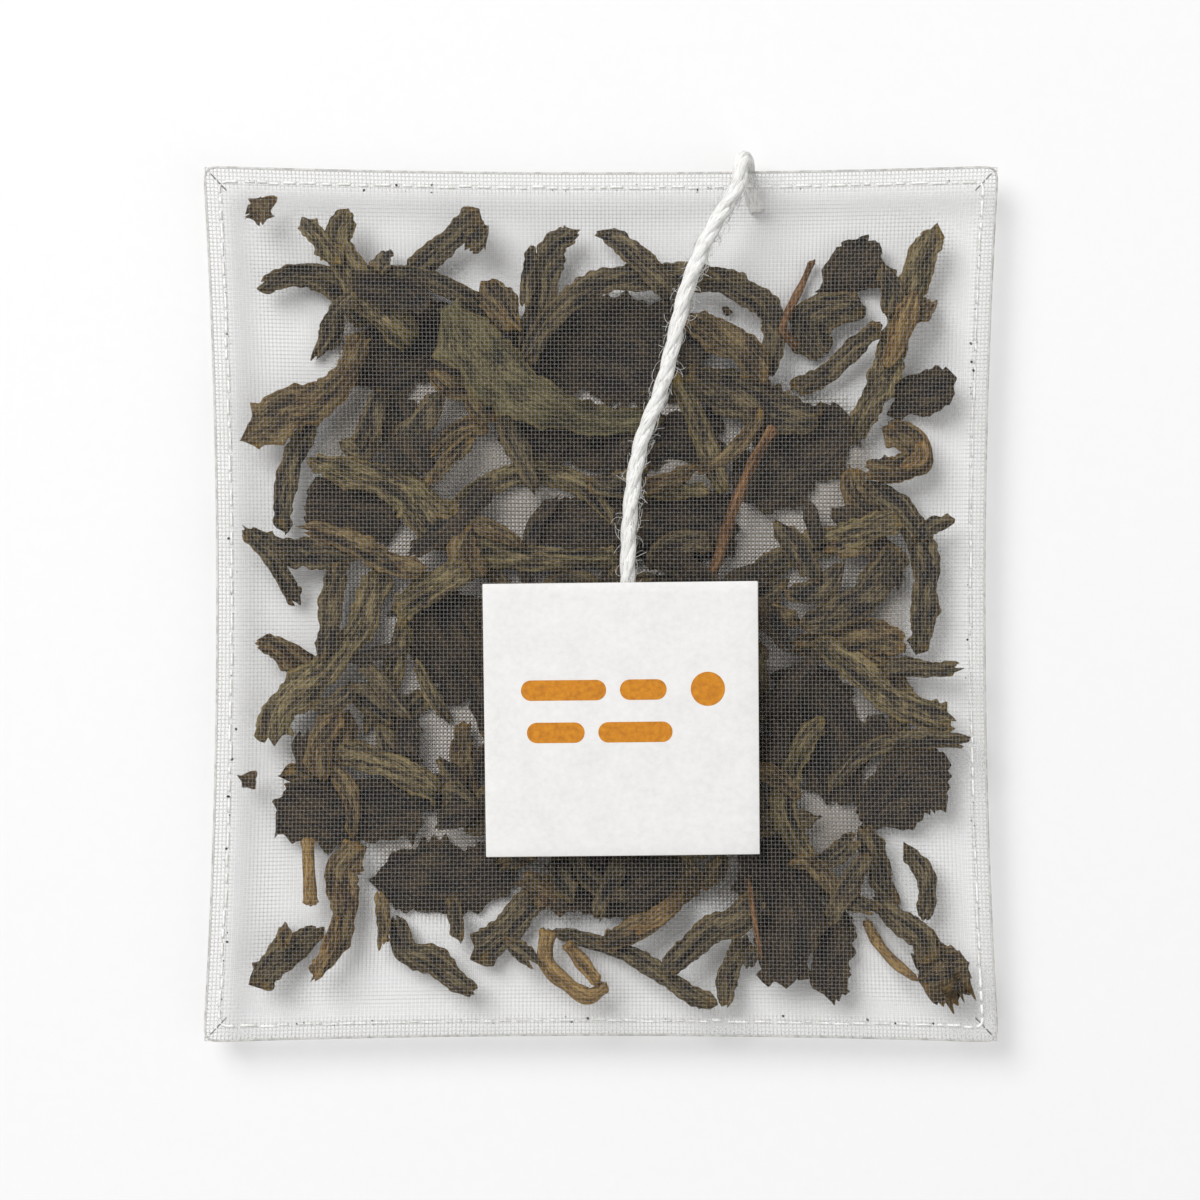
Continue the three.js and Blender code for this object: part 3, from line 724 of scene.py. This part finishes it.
# Thinner pieces, branches and torn bits that lie on the others: kind, thickness, widths, route.
LOOSE_TEA = [
    ("broad_leaf", 0.5, [2.2, 3.6, 2.6], [(-16, 15.6), (-14.6, 12.6), (-13.6, 9.8)]),
    ("broad_leaf", 0.5, [2, 4.4, 3], [(-3.4, -21.6), (1, -21.2), (5.5, -19.6)]),
    ("broad_leaf", 0.5, [1.6, 2.4, 2], [(-18.5, 24), (-15.5, 23), (-12.6, 22.6)]),
    ("dark_leaf", 0.6, [1.2, 1.8, 1.4], [(-16.5, 16), (-17, 13.5), (-17.9, 11.6), (-19, 12.2)]),
    ("dark_leaf", 0.6, [1.2, 1.6, 1.5, 1.1], [(-21.2, 18.7), (-20.2, 20.2), (-19.5, 21.6), (-18.2, 22.8)]),
    ("olive_leaf", 0.6, [1.1, 1.4, 1.5], [(-22.2, 28.6), (-21.3, 27.6), (-20.3, 26.4), (-19.6, 25.2)]),
    ("dark_leaf", 0.5, [1.6, 1.9, 1.2], [(-8.7, 28), (-9.4, 27), (-9.9, 26.2)]),
    ("dark_leaf", 0.5, [0.8, 1.2, 1], [(-16, 26.4), (-16.2, 25.4), (-16.4, 24.5)]),
    ("dark_leaf", 0.5, [0.8, 1, 1], [(-5, 26.6), (-5.4, 24.4), (-5.6, 21.9)]),
    ("dark_leaf", 0.6, [1.1, 1.6, 1.6, 1.2], [(-0.2, 27.5), (1.4, 26.9), (3, 25.2), (4.6, 23.6), (5.4, 22.4)]),
    ("orange_stem", 0.5, [0.5, 0.6, 0.6], [(15.8, 25.7), (15, 23.8), (13.9, 21.6), (13.5, 20.4), (14.6, 19.1)]),
    ("dark_leaf", 0.5, [1.2, 1.7, 1.4], [(20.9, 25.2), (21.6, 23.4), (21.2, 21.4)]),
    ("dark_leaf", 0.6, [1.1, 1.5, 1.5, 1.2], [(20.6, 20.6), (19, 19.2), (17.6, 17.8), (16.2, 16.8), (14.4, 16.2)]),
    ("dark_leaf", 0.5, [1.2, 1.3, 0.9], [(23.2, 4.6), (24.6, 5.8), (26.2, 6.2)]),
    ("olive_leaf", 0.5, [1, 1.3, 1], [(2.6, 8.5), (5.2, 8.5), (8, 8.4)]),
    ("olive_leaf", 0.6, [1.2, 1.7, 1.7, 1.5, 1.1],
     [(-11, 7), (-8.6, 8.8), (-5.6, 9.8), (-2.6, 9.4), (-0.4, 8), (0.8, 6)]),
    ("brown_leaf", 0.6, [0.8, 1.5, 1.4], [(-12.6, 11.2), (-11, 12.6), (-9.4, 13.2), (-8.6, 12.6)]),
    ("brown_leaf", 0.5, [0.8, 1.1, 0.9], [(-12.6, 9), (-11.4, 10.6), (-9.8, 12.2)]),
    ("dark_leaf", 0.5, [0.9, 1.3, 1.3], [(-26.3, 5.4), (-24.2, 3.2), (-23.2, 1.2), (-22.6, 0.2)]),
    ("brown_leaf", 0.6, [1.1, 1.7, 1.8, 1.3], [(-22.2, 5.6), (-20, 5.2), (-17.6, 4), (-15.4, 3), (-13, 2.6)]),
    ("dark_leaf", 0.6, [1.4, 1.7, 1.6, 1.3], [(-19.6, 2.8), (-20, 0.4), (-20.2, -1.6), (-20.6, -3.6)]),
    ("olive_leaf", 0.6, [1.2, 1.7, 1.7, 1.3], [(-14.6, -1.4), (-15.2, -4), (-16.4, -6.6), (-17.6, -9.4)]),
    ("dark_leaf", 0.5, [1.5, 1.7, 1.3], [(-13.2, -6.8), (-14.8, -8.4), (-15.6, -9.8)]),
    ("olive_leaf", 0.5, [0.7, 1, 0.8], [(-14, -4), (-12.8, -6.4), (-11.4, -8.8)]),
    ("brown_leaf", 0.5, [0.9, 1, 0.8], [(-16.4, -21.6), (-16.2, -23.6), (-16.3, -25.6)]),
    ("dark_leaf", 0.5, [0.9, 1.1, 0.9], [(-11.2, -22), (-10.8, -23.4), (-10.4, -24.8)]),
    ("dark_leaf", 0.5, [1, 1.3, 1], [(-6.8, -25.2), (-5.4, -26.2), (-4.8, -26.8)]),
    ("gold_stem", 0.6, [0.8, 1.1, 0.9], [(-2.6, -25.2), (-1.4, -26.6), (-0.2, -28)]),
    ("dark_leaf", 0.5, [1.4, 1.7, 1.5], [(-3.3, -18.9), (-2.9, -20.4), (-2.5, -21.8)]),
    ("dark_leaf", 0.5, [0.9, 1.5, 1.4, 1.2], [(9.2, -29.6), (9.4, -28), (10, -26.4), (10.6, -24.4)]),
    ("dark_leaf", 0.5, [0.8, 1.1, 0.9], [(11, -27), (11.1, -26), (11.2, -25.2)]),
    ("orange_stem", 0.4, [0.4, 0.4], [(10.9, -20.3), (11.3, -23.2), (11.8, -26.2)]),
    ("gold_stem", 0.4, [0.6, 0.9, 0.8, 0.5], [(19.8, -23.6), (20.6, -25.2), (21.8, -26.6), (23.4, -27.8)]),
    ("dark_leaf", 0.5, [1.1, 1.3, 1.2, 0.9],
     [(17.4, -13.6), (19.4, -11.2), (21.6, -10.4), (24.4, -10), (27, -10.2)]),
    ("dark_leaf", 0.6, [1.1, 1.3, 1.3, 1], [(20.6, -4.8), (23, -4.7), (25.2, -4.9), (26.6, -4.7)]),
    ("dark_leaf", 0.6, [1.8, 2.4, 2.2, 1.6], [(22, 4), (20.4, 1.4), (17.6, -0.6), (15, -1.6)]),
    ("dark_leaf", 0.6, [1.4, 1.9, 1.8, 1.4], [(19.6, -16.8), (20.4, -18.8), (21.2, -20.8), (22.2, -21.8)]),
    ("dark_leaf", 0.5, [1.2, 1.5, 1.2], [(15.8, -19.4), (17.6, -18.6), (18.8, -17.2)]),
    ("dark_leaf", 0.5, [1, 1.4, 1], [(16.6, -21.8), (18.5, -22.1), (20.4, -22.6)]),
    ("brown_leaf", 0.5, [0.9, 1, 0.8], [(-23.8, -24), (-23.5, -24.8), (-23.4, -25.6)]),
    ("brown_leaf", 0.6, [1.2, 1.7, 1.2], [(24.6, 22.6), (23.7, 21.6), (22.8, 20.9)]),
    ("golden_leaf", 0.4, [0.9, 1.5, 1.6, 1], [(23.2, 23), (22.6, 21.4), (21.8, 19.2), (21.2, 17.6)]),
    ("golden_leaf", 0.4, [0.8, 1.3, 1.1], [(23.8, 12), (23.7, 10.9), (22.6, 10.1)]),
    ("golden_leaf", 0.4, [0.6, 1, 0.8], [(-19.5, -23.2), (-20.2, -25.4), (-21.2, -27.4)]),
    ("golden_leaf", 0.4, [0.8, 1.4, 1], [(2.4, -24.2), (4.3, -23), (6, -21.6)]),
    ("crumb", 0.6, [3.4, 4.6, 4, 2.4], [(23.8, -28), (25, -27.5), (26.2, -27), (27.2, -26.6)]),
    ("crumb", 0.4, [1, 1.5, 1], [(-26.7, -12.8), (-26.2, -13.1), (-25.8, -13.6)]),
    ("crumb", 0.4, [0.5, 0.8], [(9.1, 22.1), (9.7, 21.7)]),
]
loose = {}
for kind, thickness, widths, route in LOOSE_TEA:
    line = lay_leaf(route, widths, thickness)
    raise_pile(line)
    loose.setdefault(kind, []).append(line)
for kind, lines in loose.items():
    add_leaves("tea_loose_" + kind, kind, lines)

# Broken bits fill the heart of the pile from below, but leave the places where it is open.
HEART = [
    (-19.5, 24.5), (-13, 24), (-8, 20.5), (-4.5, 22), (0, 23.5), (5, 23), (8, 19.5), (12, 16.5),
    (19.5, 15), (21, 9), (23.5, 4), (22.5, -3), (23, -8), (25.5, -14), (20, -16.5), (21, -21),
    (18.5, -24), (12, -25), (9.5, -22.5), (4, -21.5), (-3, -24), (-8, -21), (-10, -23.5),
    (-16, -22.5), (-17, -18), (-24, -15.5), (-23, -9.5), (-19, -3), (-19.5, 2.5), (-22, 5),
    (-21.5, 10.5), (-20, 16),
]
OPENINGS = [                  # x, y, half size across, half size along
    (-18.4, 14.4, 1.5, 1.5), (-18, 11.2, 1.2, 1.2), (-11.2, 9, 1.8, 1.8), (-8.8, 11, 1.4, 1.4),
    (-7, 7, 2, 1), (-11, 13.8, 0.9, 0.9), (-14.2, -6.2, 1, 1.8), (-12, -9.8, 1.6, 1.2),
    (-16.6, -2.4, 1.2, 1.2), (-17.4, 2.2, 0.8, 0.8), (-18.6, -19, 0.8, 0.8), (-8.4, -21.6, 1, 2),
    (6.6, -24, 1.4, 1.4), (8.8, -20.8, 0.7, 0.7), (12.8, -4.6, 1.3, 1.2), (16.8, -17.6, 1.2, 1.2),
    (21.8, -0.8, 1.4, 1.6), (18.4, 1, 0.8, 2), (16.8, 8, 1.4, 1.4), (2, 19.2, 0.5, 0.5),
    (4, 22, 1, 1), (8.6, 21.4, 1.5, 1.2), (0.4, 10.6, 1, 1), (11, 3.8, 1.2, 0.8),
    (11, 11, 0.8, 0.8), (20.3, 11.3, 0.8, 0.8),
]
BIT_TRIES = 6000


def in_heart(x, y):
    """Whether a point lies in the pile's heart, by counting the outline's sides to its right."""
    sides = zip(HEART, HEART[1:] + HEART[:1])
    return sum((y0 > y) != (y1 > y) and x < x0 + (x1 - x0) * (y - y0) / (y1 - y0)
               for (x0, y0), (x1, y1) in sides) % 2 == 1


def is_open(x, y):
    return any(math.hypot((x - a) / w, (y - b) / h) < 1 for a, b, w, h in OPENINGS)


bits = {}
draw = random.Random("broken tea")
filled = set(pile)
fillable = {(i, j) for i in range(-62, 66) for j in range(-64, 64)
            if in_heart(i * CELL, j * CELL) and not is_open(i * CELL, j * CELL)}
for _ in range(BIT_TRIES):
    x, y = draw.uniform(-24, 25), draw.uniform(-25, 25)
    heading, bend = draw.uniform(0, math.pi), draw.uniform(-0.5, 0.5)
    length, wide = draw.uniform(3, 8), draw.uniform(1.1, 2.5)
    kind = draw.choice(["dark_leaf", "dark_leaf", "broad_leaf", "broad_leaf", "brown_leaf"])
    lift = draw.uniform(0.8, 2.4)
    route = [(x + math.cos(heading + bend * t) * length * t / 2,
              y + math.sin(heading + bend * t) * length * t / 2) for t in (-1, -0.4, 0.4, 1)]
    if (round(x / CELL), round(y / CELL)) not in fillable:
        continue
    cells = set(cells_under([(Vector((*p, 0)), wide / 2, 0) for p in route]))
    if len(cells - filled) < 0.22 * len(cells) or len(cells - fillable) > 0.12 * len(cells):
        continue
    filled |= cells
    bits.setdefault(kind, []).append(lay_leaf(route, [wide * 0.6, wide, wide * 0.7], 0.5, lift))
for kind, lines in bits.items():
    add_leaves("tea_bits_" + kind, kind, lines, coarser=2)

# ---------------------------------------------------------------------------------------------
# Panels. Plain weave of clear monofilament, front and back, welded along all four sides and cut
# just outside the weld. Every thread is a tube of its own, laid on the CAD panel's surface.
# ---------------------------------------------------------------------------------------------
THREAD_DIAMETER = 0.085
THREAD_PITCH = 0.29
THREAD_STEPS = 48
EDGE_MARGIN = 0.12
CLOTH = 0.2
SEAL_LEVEL = 2.7
WELD_BAND = 1.3               # mm of each edge where the threads are fused and milky
DUST_AND_SHADE_REACH = 2.0              # mm around the tea over which its dust, also painted shade for the pile's gaps, clings to the back panel
DUST_AND_SHADE_SWELL = 0.5              # how much the dust and painted shade thicken the threads there, as a share


def woven_nylon(name, shaded_groove, side, lit_knuckle, dust, dust_and_shade_alpha):
    """Clear thread: it dims what is behind it. Its colour is painted lighter where it rises over a crossing one, a
    painted highlight, and darker where it passes under, painted shade.
    """
    material, shader = new_material(name)
    shader.inputs["Roughness"].default_value = 0.35
    shader.inputs["IOR"].default_value = 1.53
    place = add_node(material, "ShaderNodeUVMap")
    split = add_node(material, "ShaderNodeSeparateXYZ", Vector=place.outputs["UV"])
    crossing = add_node(material, "ShaderNodeMath", [("operation", "ADD")],
                        _0=split.outputs["X"], _1=split.outputs["Y"])
    phase = add_node(material, "ShaderNodeMath", [("operation", "MULTIPLY"), (1, math.pi)],
                     _0=crossing.outputs["Value"])
    wave = add_node(material, "ShaderNodeMath", [("operation", "COSINE")],
                    _0=phase.outputs["Value"])
    raised = add_node(material, "ShaderNodeMapRange", [("From Min", -1.0), ("From Max", 1.0)],
                      Value=wave.outputs["Value"])
    tint = add_node(material, "ShaderNodeValToRGB", Fac=raised.outputs["Result"])
    # Painted shade where the thread passes under a crossing one, painted highlight on the crown where it rises
    # over it.
    colour_stops(tint, [(0.2, shaded_groove), (0.6, side), (0.88, lit_knuckle)])
    welded = add_node(material, "ShaderNodeAttribute", [("attribute_name", "weld")])
    milky = add_node(material, "ShaderNodeMix", [("data_type", "RGBA"), (7, linear("#f4f3f1"))],
                     _0=welded.outputs["Fac"], _6=tint.outputs["Color"])
    # Back panel: tea dust darkens and fills the threads, partly real dust and partly painted shade in the gaps of
    # the pile.
    dusted_and_shaded = add_node(material, "ShaderNodeAttribute", [("attribute_name", "dust")])
    stained_and_shaded = add_node(material, "ShaderNodeMix", [("data_type", "RGBA"), (7, linear(dust))],
                       _0=dusted_and_shaded.outputs["Fac"], _6=milky.outputs[2])
    clear = add_node(material, "ShaderNodeMapRange",
                     [("To Min", THREAD_ALPHA), ("To Max", WELD_ALPHA)],
                     Value=welded.outputs["Fac"])
    veil = add_node(material, "ShaderNodeMix", [("B", dust_and_shade_alpha)],
                    Factor=dusted_and_shaded.outputs["Fac"], A=clear.outputs["Result"])
    bump = add_node(material, "ShaderNodeBump", [("Strength", 0.6), ("Distance", 0.05 * MM)],
                    Height=raised.outputs["Result"])
    join_nodes(material, stained_and_shaded.outputs[2], shader.inputs["Base Color"])
    join_nodes(material, veil.outputs["Result"], shader.inputs["Alpha"])
    join_nodes(material, bump.outputs["Normal"], shader.inputs["Normal"])
    return material


THREAD_ALPHA = 0.054
WELD_ALPHA = 0.35
# Colours: under a crossing thread (painted shade), side, crown (painted highlight), then the dust on the back
# panel, which is also painted shade for the gaps in the pile, and its alpha.
nylon = woven_nylon("monofilament_mesh_woven", "#d6d3ce", "#eceae6", "#ffffff", "#a79e93", 1)


def panel_point(node_name, outward, u, v):
    """The middle of a panel's thickness at a place (u, v)."""
    x, y = u * half_width(v), v * half_length(u)
    return Vector((x, y, panel_level(node_name, x, y, outward > 0) - outward * CLOTH / 2))


def pucker(point, u, v):
    """Small creases of the cloth: they fan in from the corners and ripple along the weld."""
    inset = min(half_width(v) * (1 - abs(u)), half_length(u) * (1 - abs(v)))
    corner = max(0, (abs(u) + abs(v) - 1.2) / 0.8)
    fan_at = math.atan2(32.5 - abs(point.y), 29.5 - abs(point.x)) * 4.5
    fan = 0.5 * corner * pointed(fan_at, math.copysign(3, u), math.copysign(5, v))
    drift = 0.16 * noise_at(point.x * 0.18, point.y * 0.18, 2.7)
    crinkle = 0.07 * noise_at(point.x * 0.9, point.y * 0.9, 6.1)
    inside = min(1, max(0, (inset - 1.0) / 1.5))
    return (fan + drift) * inside + crinkle * min(1, inset * 2)


def thread_routes(node_name, outward):
    """Both sets of threads of one panel, as (route, crossings along it, own number)."""
    made = []
    for lengthways in (True, False):
        span = BAG_WIDTH if lengthways else BAG_LENGTH
        count = round(span / THREAD_PITCH)
        crossings = round((BAG_LENGTH if lengthways else BAG_WIDTH) / THREAD_PITCH)
        lift = 0.25 * THREAD_DIAMETER * (1 if lengthways else -1)
        reach = 1 - EDGE_MARGIN / (span / 2)
        for number in range(count):
            across = reach * (2 * number / (count - 1) - 1)
            route = []
            for k in range(THREAD_STEPS + 1):
                # Points lie closer together towards the edges, where the panel bends most.
                even = 2 * k / THREAD_STEPS - 1
                along = (1 - EDGE_MARGIN / 30) * (0.45 * math.sin(math.pi / 2 * even) + 0.55 * even)
                u, v = (across, along) if lengthways else (along, across)
                point = panel_point(node_name, outward, u, v)
                point.z = max(0.07, point.z + outward * (lift + pucker(point, u, v)))
                route.append(point)
            made.append((route, crossings, number))
    return made


def inset_of(x, y):
    """How far a point lies inside the bag's cut edge."""
    return min(half_width(2 * y / BAG_LENGTH) - abs(x), half_length(2 * x / BAG_WIDTH) - abs(y))


def dust_and_shade_at(x, y):
    """How thickly tea dust lies on the back panel, a film dark enough to be painted shade for the gaps in the pile
    as well: most of it lies in the heart of the pile.
    """
    steps = [k * DUST_AND_SHADE_REACH / 2 for k in (-2, -1, 0, 1, 2)]
    near = [in_heart(x + a, y + b) for a in steps for b in steps if math.hypot(a, b) <= DUST_AND_SHADE_REACH]
    return min(1, max(0, (sum(near) / len(near) - 0.3) / 0.55))


dust_and_shade_cells = {}


def dust_and_shade_near(point):
    """The dust, with its painted shade, at a point, worked out once for each grid cell."""
    cell = (round(point.x / CELL), round(point.y / CELL))
    if cell not in dust_and_shade_cells:
        dust_and_shade_cells[cell] = dust_and_shade_at(cell[0] * CELL, cell[1] * CELL)
    return dust_and_shade_cells[cell]


def woven_panel(name, node_name, outward, dusty_and_shaded):
    threads = thread_routes(node_name, outward)
    swell = (lambda point: 1 + DUST_AND_SHADE_SWELL * dust_and_shade_near(point)) if dusty_and_shaded else None
    mesh = tubes(name, [route for route, _, _ in threads], THREAD_DIAMETER / 2, 0, swell)
    # The UV map counts threads: along a thread the crossings, across the cloth the thread's number.
    uv = mesh.uv_layers[0].data
    per_thread = len(mesh.loops) // len(threads)
    for n, (_, crossings, number) in enumerate(threads):
        for k in range(n * per_thread, (n + 1) * per_thread):
            along = uv[k].uv[0]
            uv[k].uv = (along * crossings, float(number))
    weld = mesh.attributes.new("weld", "FLOAT", "POINT").data
    for vert, level in zip(mesh.vertices, weld):
        inset = inset_of(vert.co.x / MM, vert.co.y / MM)
        level.value = min(1, max(0, (WELD_BAND + 0.2 - inset) / 0.4))
    # Where the back panel is dusty and painted with the pile's shade.
    dust = mesh.attributes.new("dust", "FLOAT", "POINT").data
    for vert, level in zip(mesh.vertices, dust):
        level.value = dust_and_shade_near(vert.co / MM) if dusty_and_shaded else 0
    piece = add_piece(name, mesh, "woven mesh", nylon, node_name)
    return piece


front_mesh = woven_panel("front_mesh", "front_panel", 1, False)
back_mesh = woven_panel("back_mesh", "back_panel", -1, True)

# The weld. Heat joins the panels in a broken white line just inside the edge, melts the cut
# threads into a fine bead, and creases each corner, where short dark lines are painted shade.
WELD_INSET = 1.15
DASH_LENGTH = 0.95
DASH_GAP = 0.35
CORNER_RADIUS = 0.9
CORNER_INSETS = [(0.55, 0.95), (1.05, 1.3), (1.38, 1.75)]   # from the corner, along the crease
OUTLINE_STEP = 0.25


def outline(inset, level, radius):
    """A closed line round the bag at a distance inside its edge, with rounded corners."""
    corners = []
    for a, b in ((-1, -1), (1, -1), (1, 1), (-1, 1)):
        corners.append((a, b))
    line = []
    for (a, b), (c, d) in zip(corners, corners[1:] + corners[:1]):
        steps = round((BAG_WIDTH if b == d else BAG_LENGTH) / OUTLINE_STEP)
        for k in range(steps):
            u, v = a + (c - a) * k / steps, b + (d - b) * k / steps
            x = u * (half_width(v) - inset)
            y = v * (half_length(u) - inset)
            line.append(Vector((x, y, level)))
    for _ in range(round((radius / OUTLINE_STEP) ** 2)):
        line = [(line[k - 1] + line[k] * 2 + line[(k + 1) % len(line)]) / 4
                for k in range(len(line))]
    return line + [line[0].copy()]


def fused_nylon(name, dark, pale, alpha):
    """Melted and set nylon: milky and slightly glossy, cloudy where it bubbled."""
    material, shader = new_material(name)
    shader.inputs["Roughness"].default_value = 0.4
    shader.inputs["IOR"].default_value = 1.53
    shader.inputs["Alpha"].default_value = alpha
    place = add_node(material, "ShaderNodeTexCoord")
    cloud = add_node(material, "ShaderNodeTexNoise", [("Scale", 1 / (0.5 * MM)), ("Detail", 3.0)],
                     Vector=place.outputs["Object"])
    tint = add_node(material, "ShaderNodeValToRGB", Fac=cloud.outputs["Fac"])
    colour_stops(tint, [(0.38, dark), (0.58, pale)])
    raised = add_node(material, "ShaderNodeBump", [("Strength", 0.5), ("Distance", 0.04 * MM)],
                      Height=cloud.outputs["Fac"])
    join_nodes(material, tint.outputs["Color"], shader.inputs["Base Color"])
    join_nodes(material, raised.outputs["Normal"], shader.inputs["Normal"])
    return material


weld_nylon = fused_nylon("nylon_welded_milky", "#e9e7e3", "#ffffff", 1)
bead_nylon = fused_nylon("nylon_cut_bead", "#bdbab5", "#e4e2de", 0.75)
# Dark grey lines that paint the shade in the corner creases.
crease_shade_nylon = fused_nylon("nylon_painted_crease_shade", "#5f5a53", "#97928a", 0.85)

draw = random.Random("weld")
weld_line = outline(WELD_INSET, SEAL_LEVEL + CLOTH - 0.03, CORNER_RADIUS * 0.8)
dashes = []
k = 0
while k < len(weld_line) - 4:
    steps = max(2, round(draw.uniform(0.5, 1.5) * DASH_LENGTH / OUTLINE_STEP))
    wobble = Vector((draw.uniform(-0.07, 0.07), draw.uniform(-0.07, 0.07), 0))
    dashes.append([p + wobble for p in weld_line[k:k + steps + 1]])
    k += steps + max(1, round(draw.uniform(0.5, 1.4) * DASH_GAP / OUTLINE_STEP))
add_piece("weld_dashes", tubes("weld_dashes", dashes, 0.12, 0), "woven mesh", weld_nylon)
add_piece("cut_edge", tubes("cut_edge", [outline(0.06, SEAL_LEVEL, CORNER_RADIUS)], 0.09, 1),
          "woven mesh", bead_nylon)

# Painted shade: short dark tubes along the crease across each corner.
creases = []
for a, b in ((-1, -1), (1, -1), (1, 1), (-1, 1)):
    for near, far in CORNER_INSETS:
        ends = [Vector((a * (half_width(1) - i), b * (half_length(1) - i * 1.06), SEAL_LEVEL + CLOTH))
                for i in (near, (near + far) / 2 + 0.05, far)]
        creases.append(ends)
add_piece("corner_crease_shades", tubes("corner_crease_shades", creases, 0.045, 0), "woven mesh", crease_shade_nylon)

# Specks of tea dust that the weld caught.
SPECK_COUNT = 70
bm = bmesh.new()
for layer in ("crest", "rim"):
    bm.verts.layers.float.new(layer)
for _ in range(SPECK_COUNT):
    spot = weld_line[draw.randrange(len(weld_line))]
    middle = spot * draw.uniform(0.985, 1.008)
    middle.z = SEAL_LEVEL + CLOTH + 0.1
    size = draw.choice([0.04, 0.05, 0.06, 0.1])
    shape = Matrix.Diagonal((size * MM, size * draw.uniform(0.6, 1.6) * MM, 0.05 * MM, 1))
    turn = Matrix.Rotation(draw.uniform(0, math.pi), 4, "Z")
    bmesh.ops.create_icosphere(bm, subdivisions=1, radius=1, calc_uvs=True,
                               matrix=Matrix.Translation(middle * MM) @ turn @ shape)
speck_mesh = bpy.data.meshes.new("tea_dust_specks")
bm.to_mesh(speck_mesh)
bm.free()
add_piece("tea_dust_specks", speck_mesh, "brown tea leaf", LEAF_LOOKS["crumb"][1])

# ---------------------------------------------------------------------------------------------
# Floor, lights and view.
# ---------------------------------------------------------------------------------------------
floor_material, shader = new_material("white_paper_sweep")
shader.inputs["Roughness"].default_value = 0.9
place = add_node(floor_material, "ShaderNodeTexCoord")
grain = add_node(floor_material, "ShaderNodeTexNoise", [("Scale", 900.0), ("Detail", 3.0)],
                 Vector=place.outputs["Object"])
tint = add_node(floor_material, "ShaderNodeValToRGB", Fac=grain.outputs["Fac"])
colour_stops(tint, [(0.3, "#f4f4f4"), (0.7, "#f5f5f5")])
join_nodes(floor_material, tint.outputs["Color"], shader.inputs["Base Color"])

bm = bmesh.new()
bmesh.ops.create_grid(bm, x_segments=2, y_segments=2, size=1.5)
floor_mesh = bpy.data.meshes.new("floor")
bm.to_mesh(floor_mesh)
bm.free()
floor = bpy.data.objects.new("floor", floor_mesh)
floor_mesh.materials.append(floor_material)
bpy.context.scene.collection.objects.link(floor)

# name, place in m, side in m, power in W
LAMPS = [
    ("key_light", (-0.45, 0.5, 0.75), 0.6, 8.1),
    ("fill_light", (0.6, -0.3, 0.7), 1.0, 1.8),
]
for lamp_name, spot, side, power in LAMPS:
    lamp_data = bpy.data.lights.new(lamp_name, "AREA")
    lamp_data.size = side
    lamp_data.energy = power
    lamp = bpy.data.objects.new(lamp_name, lamp_data)
    lamp.location = spot
    lamp.rotation_euler = (Vector((0, 0, 0)) - Vector(spot)).to_track_quat("-Z", "Y").to_euler()
    bpy.context.scene.collection.objects.link(lamp)

world = bpy.data.worlds.new("studio")
world.use_nodes = True
world.node_tree.nodes["Background"].inputs["Color"].default_value = (1, 1, 1, 1)
world.node_tree.nodes["Background"].inputs["Strength"].default_value = 0.42
bpy.context.scene.world = world
bpy.context.scene.view_settings.view_transform = "Standard"
bpy.context.scene.view_settings.look = "None"
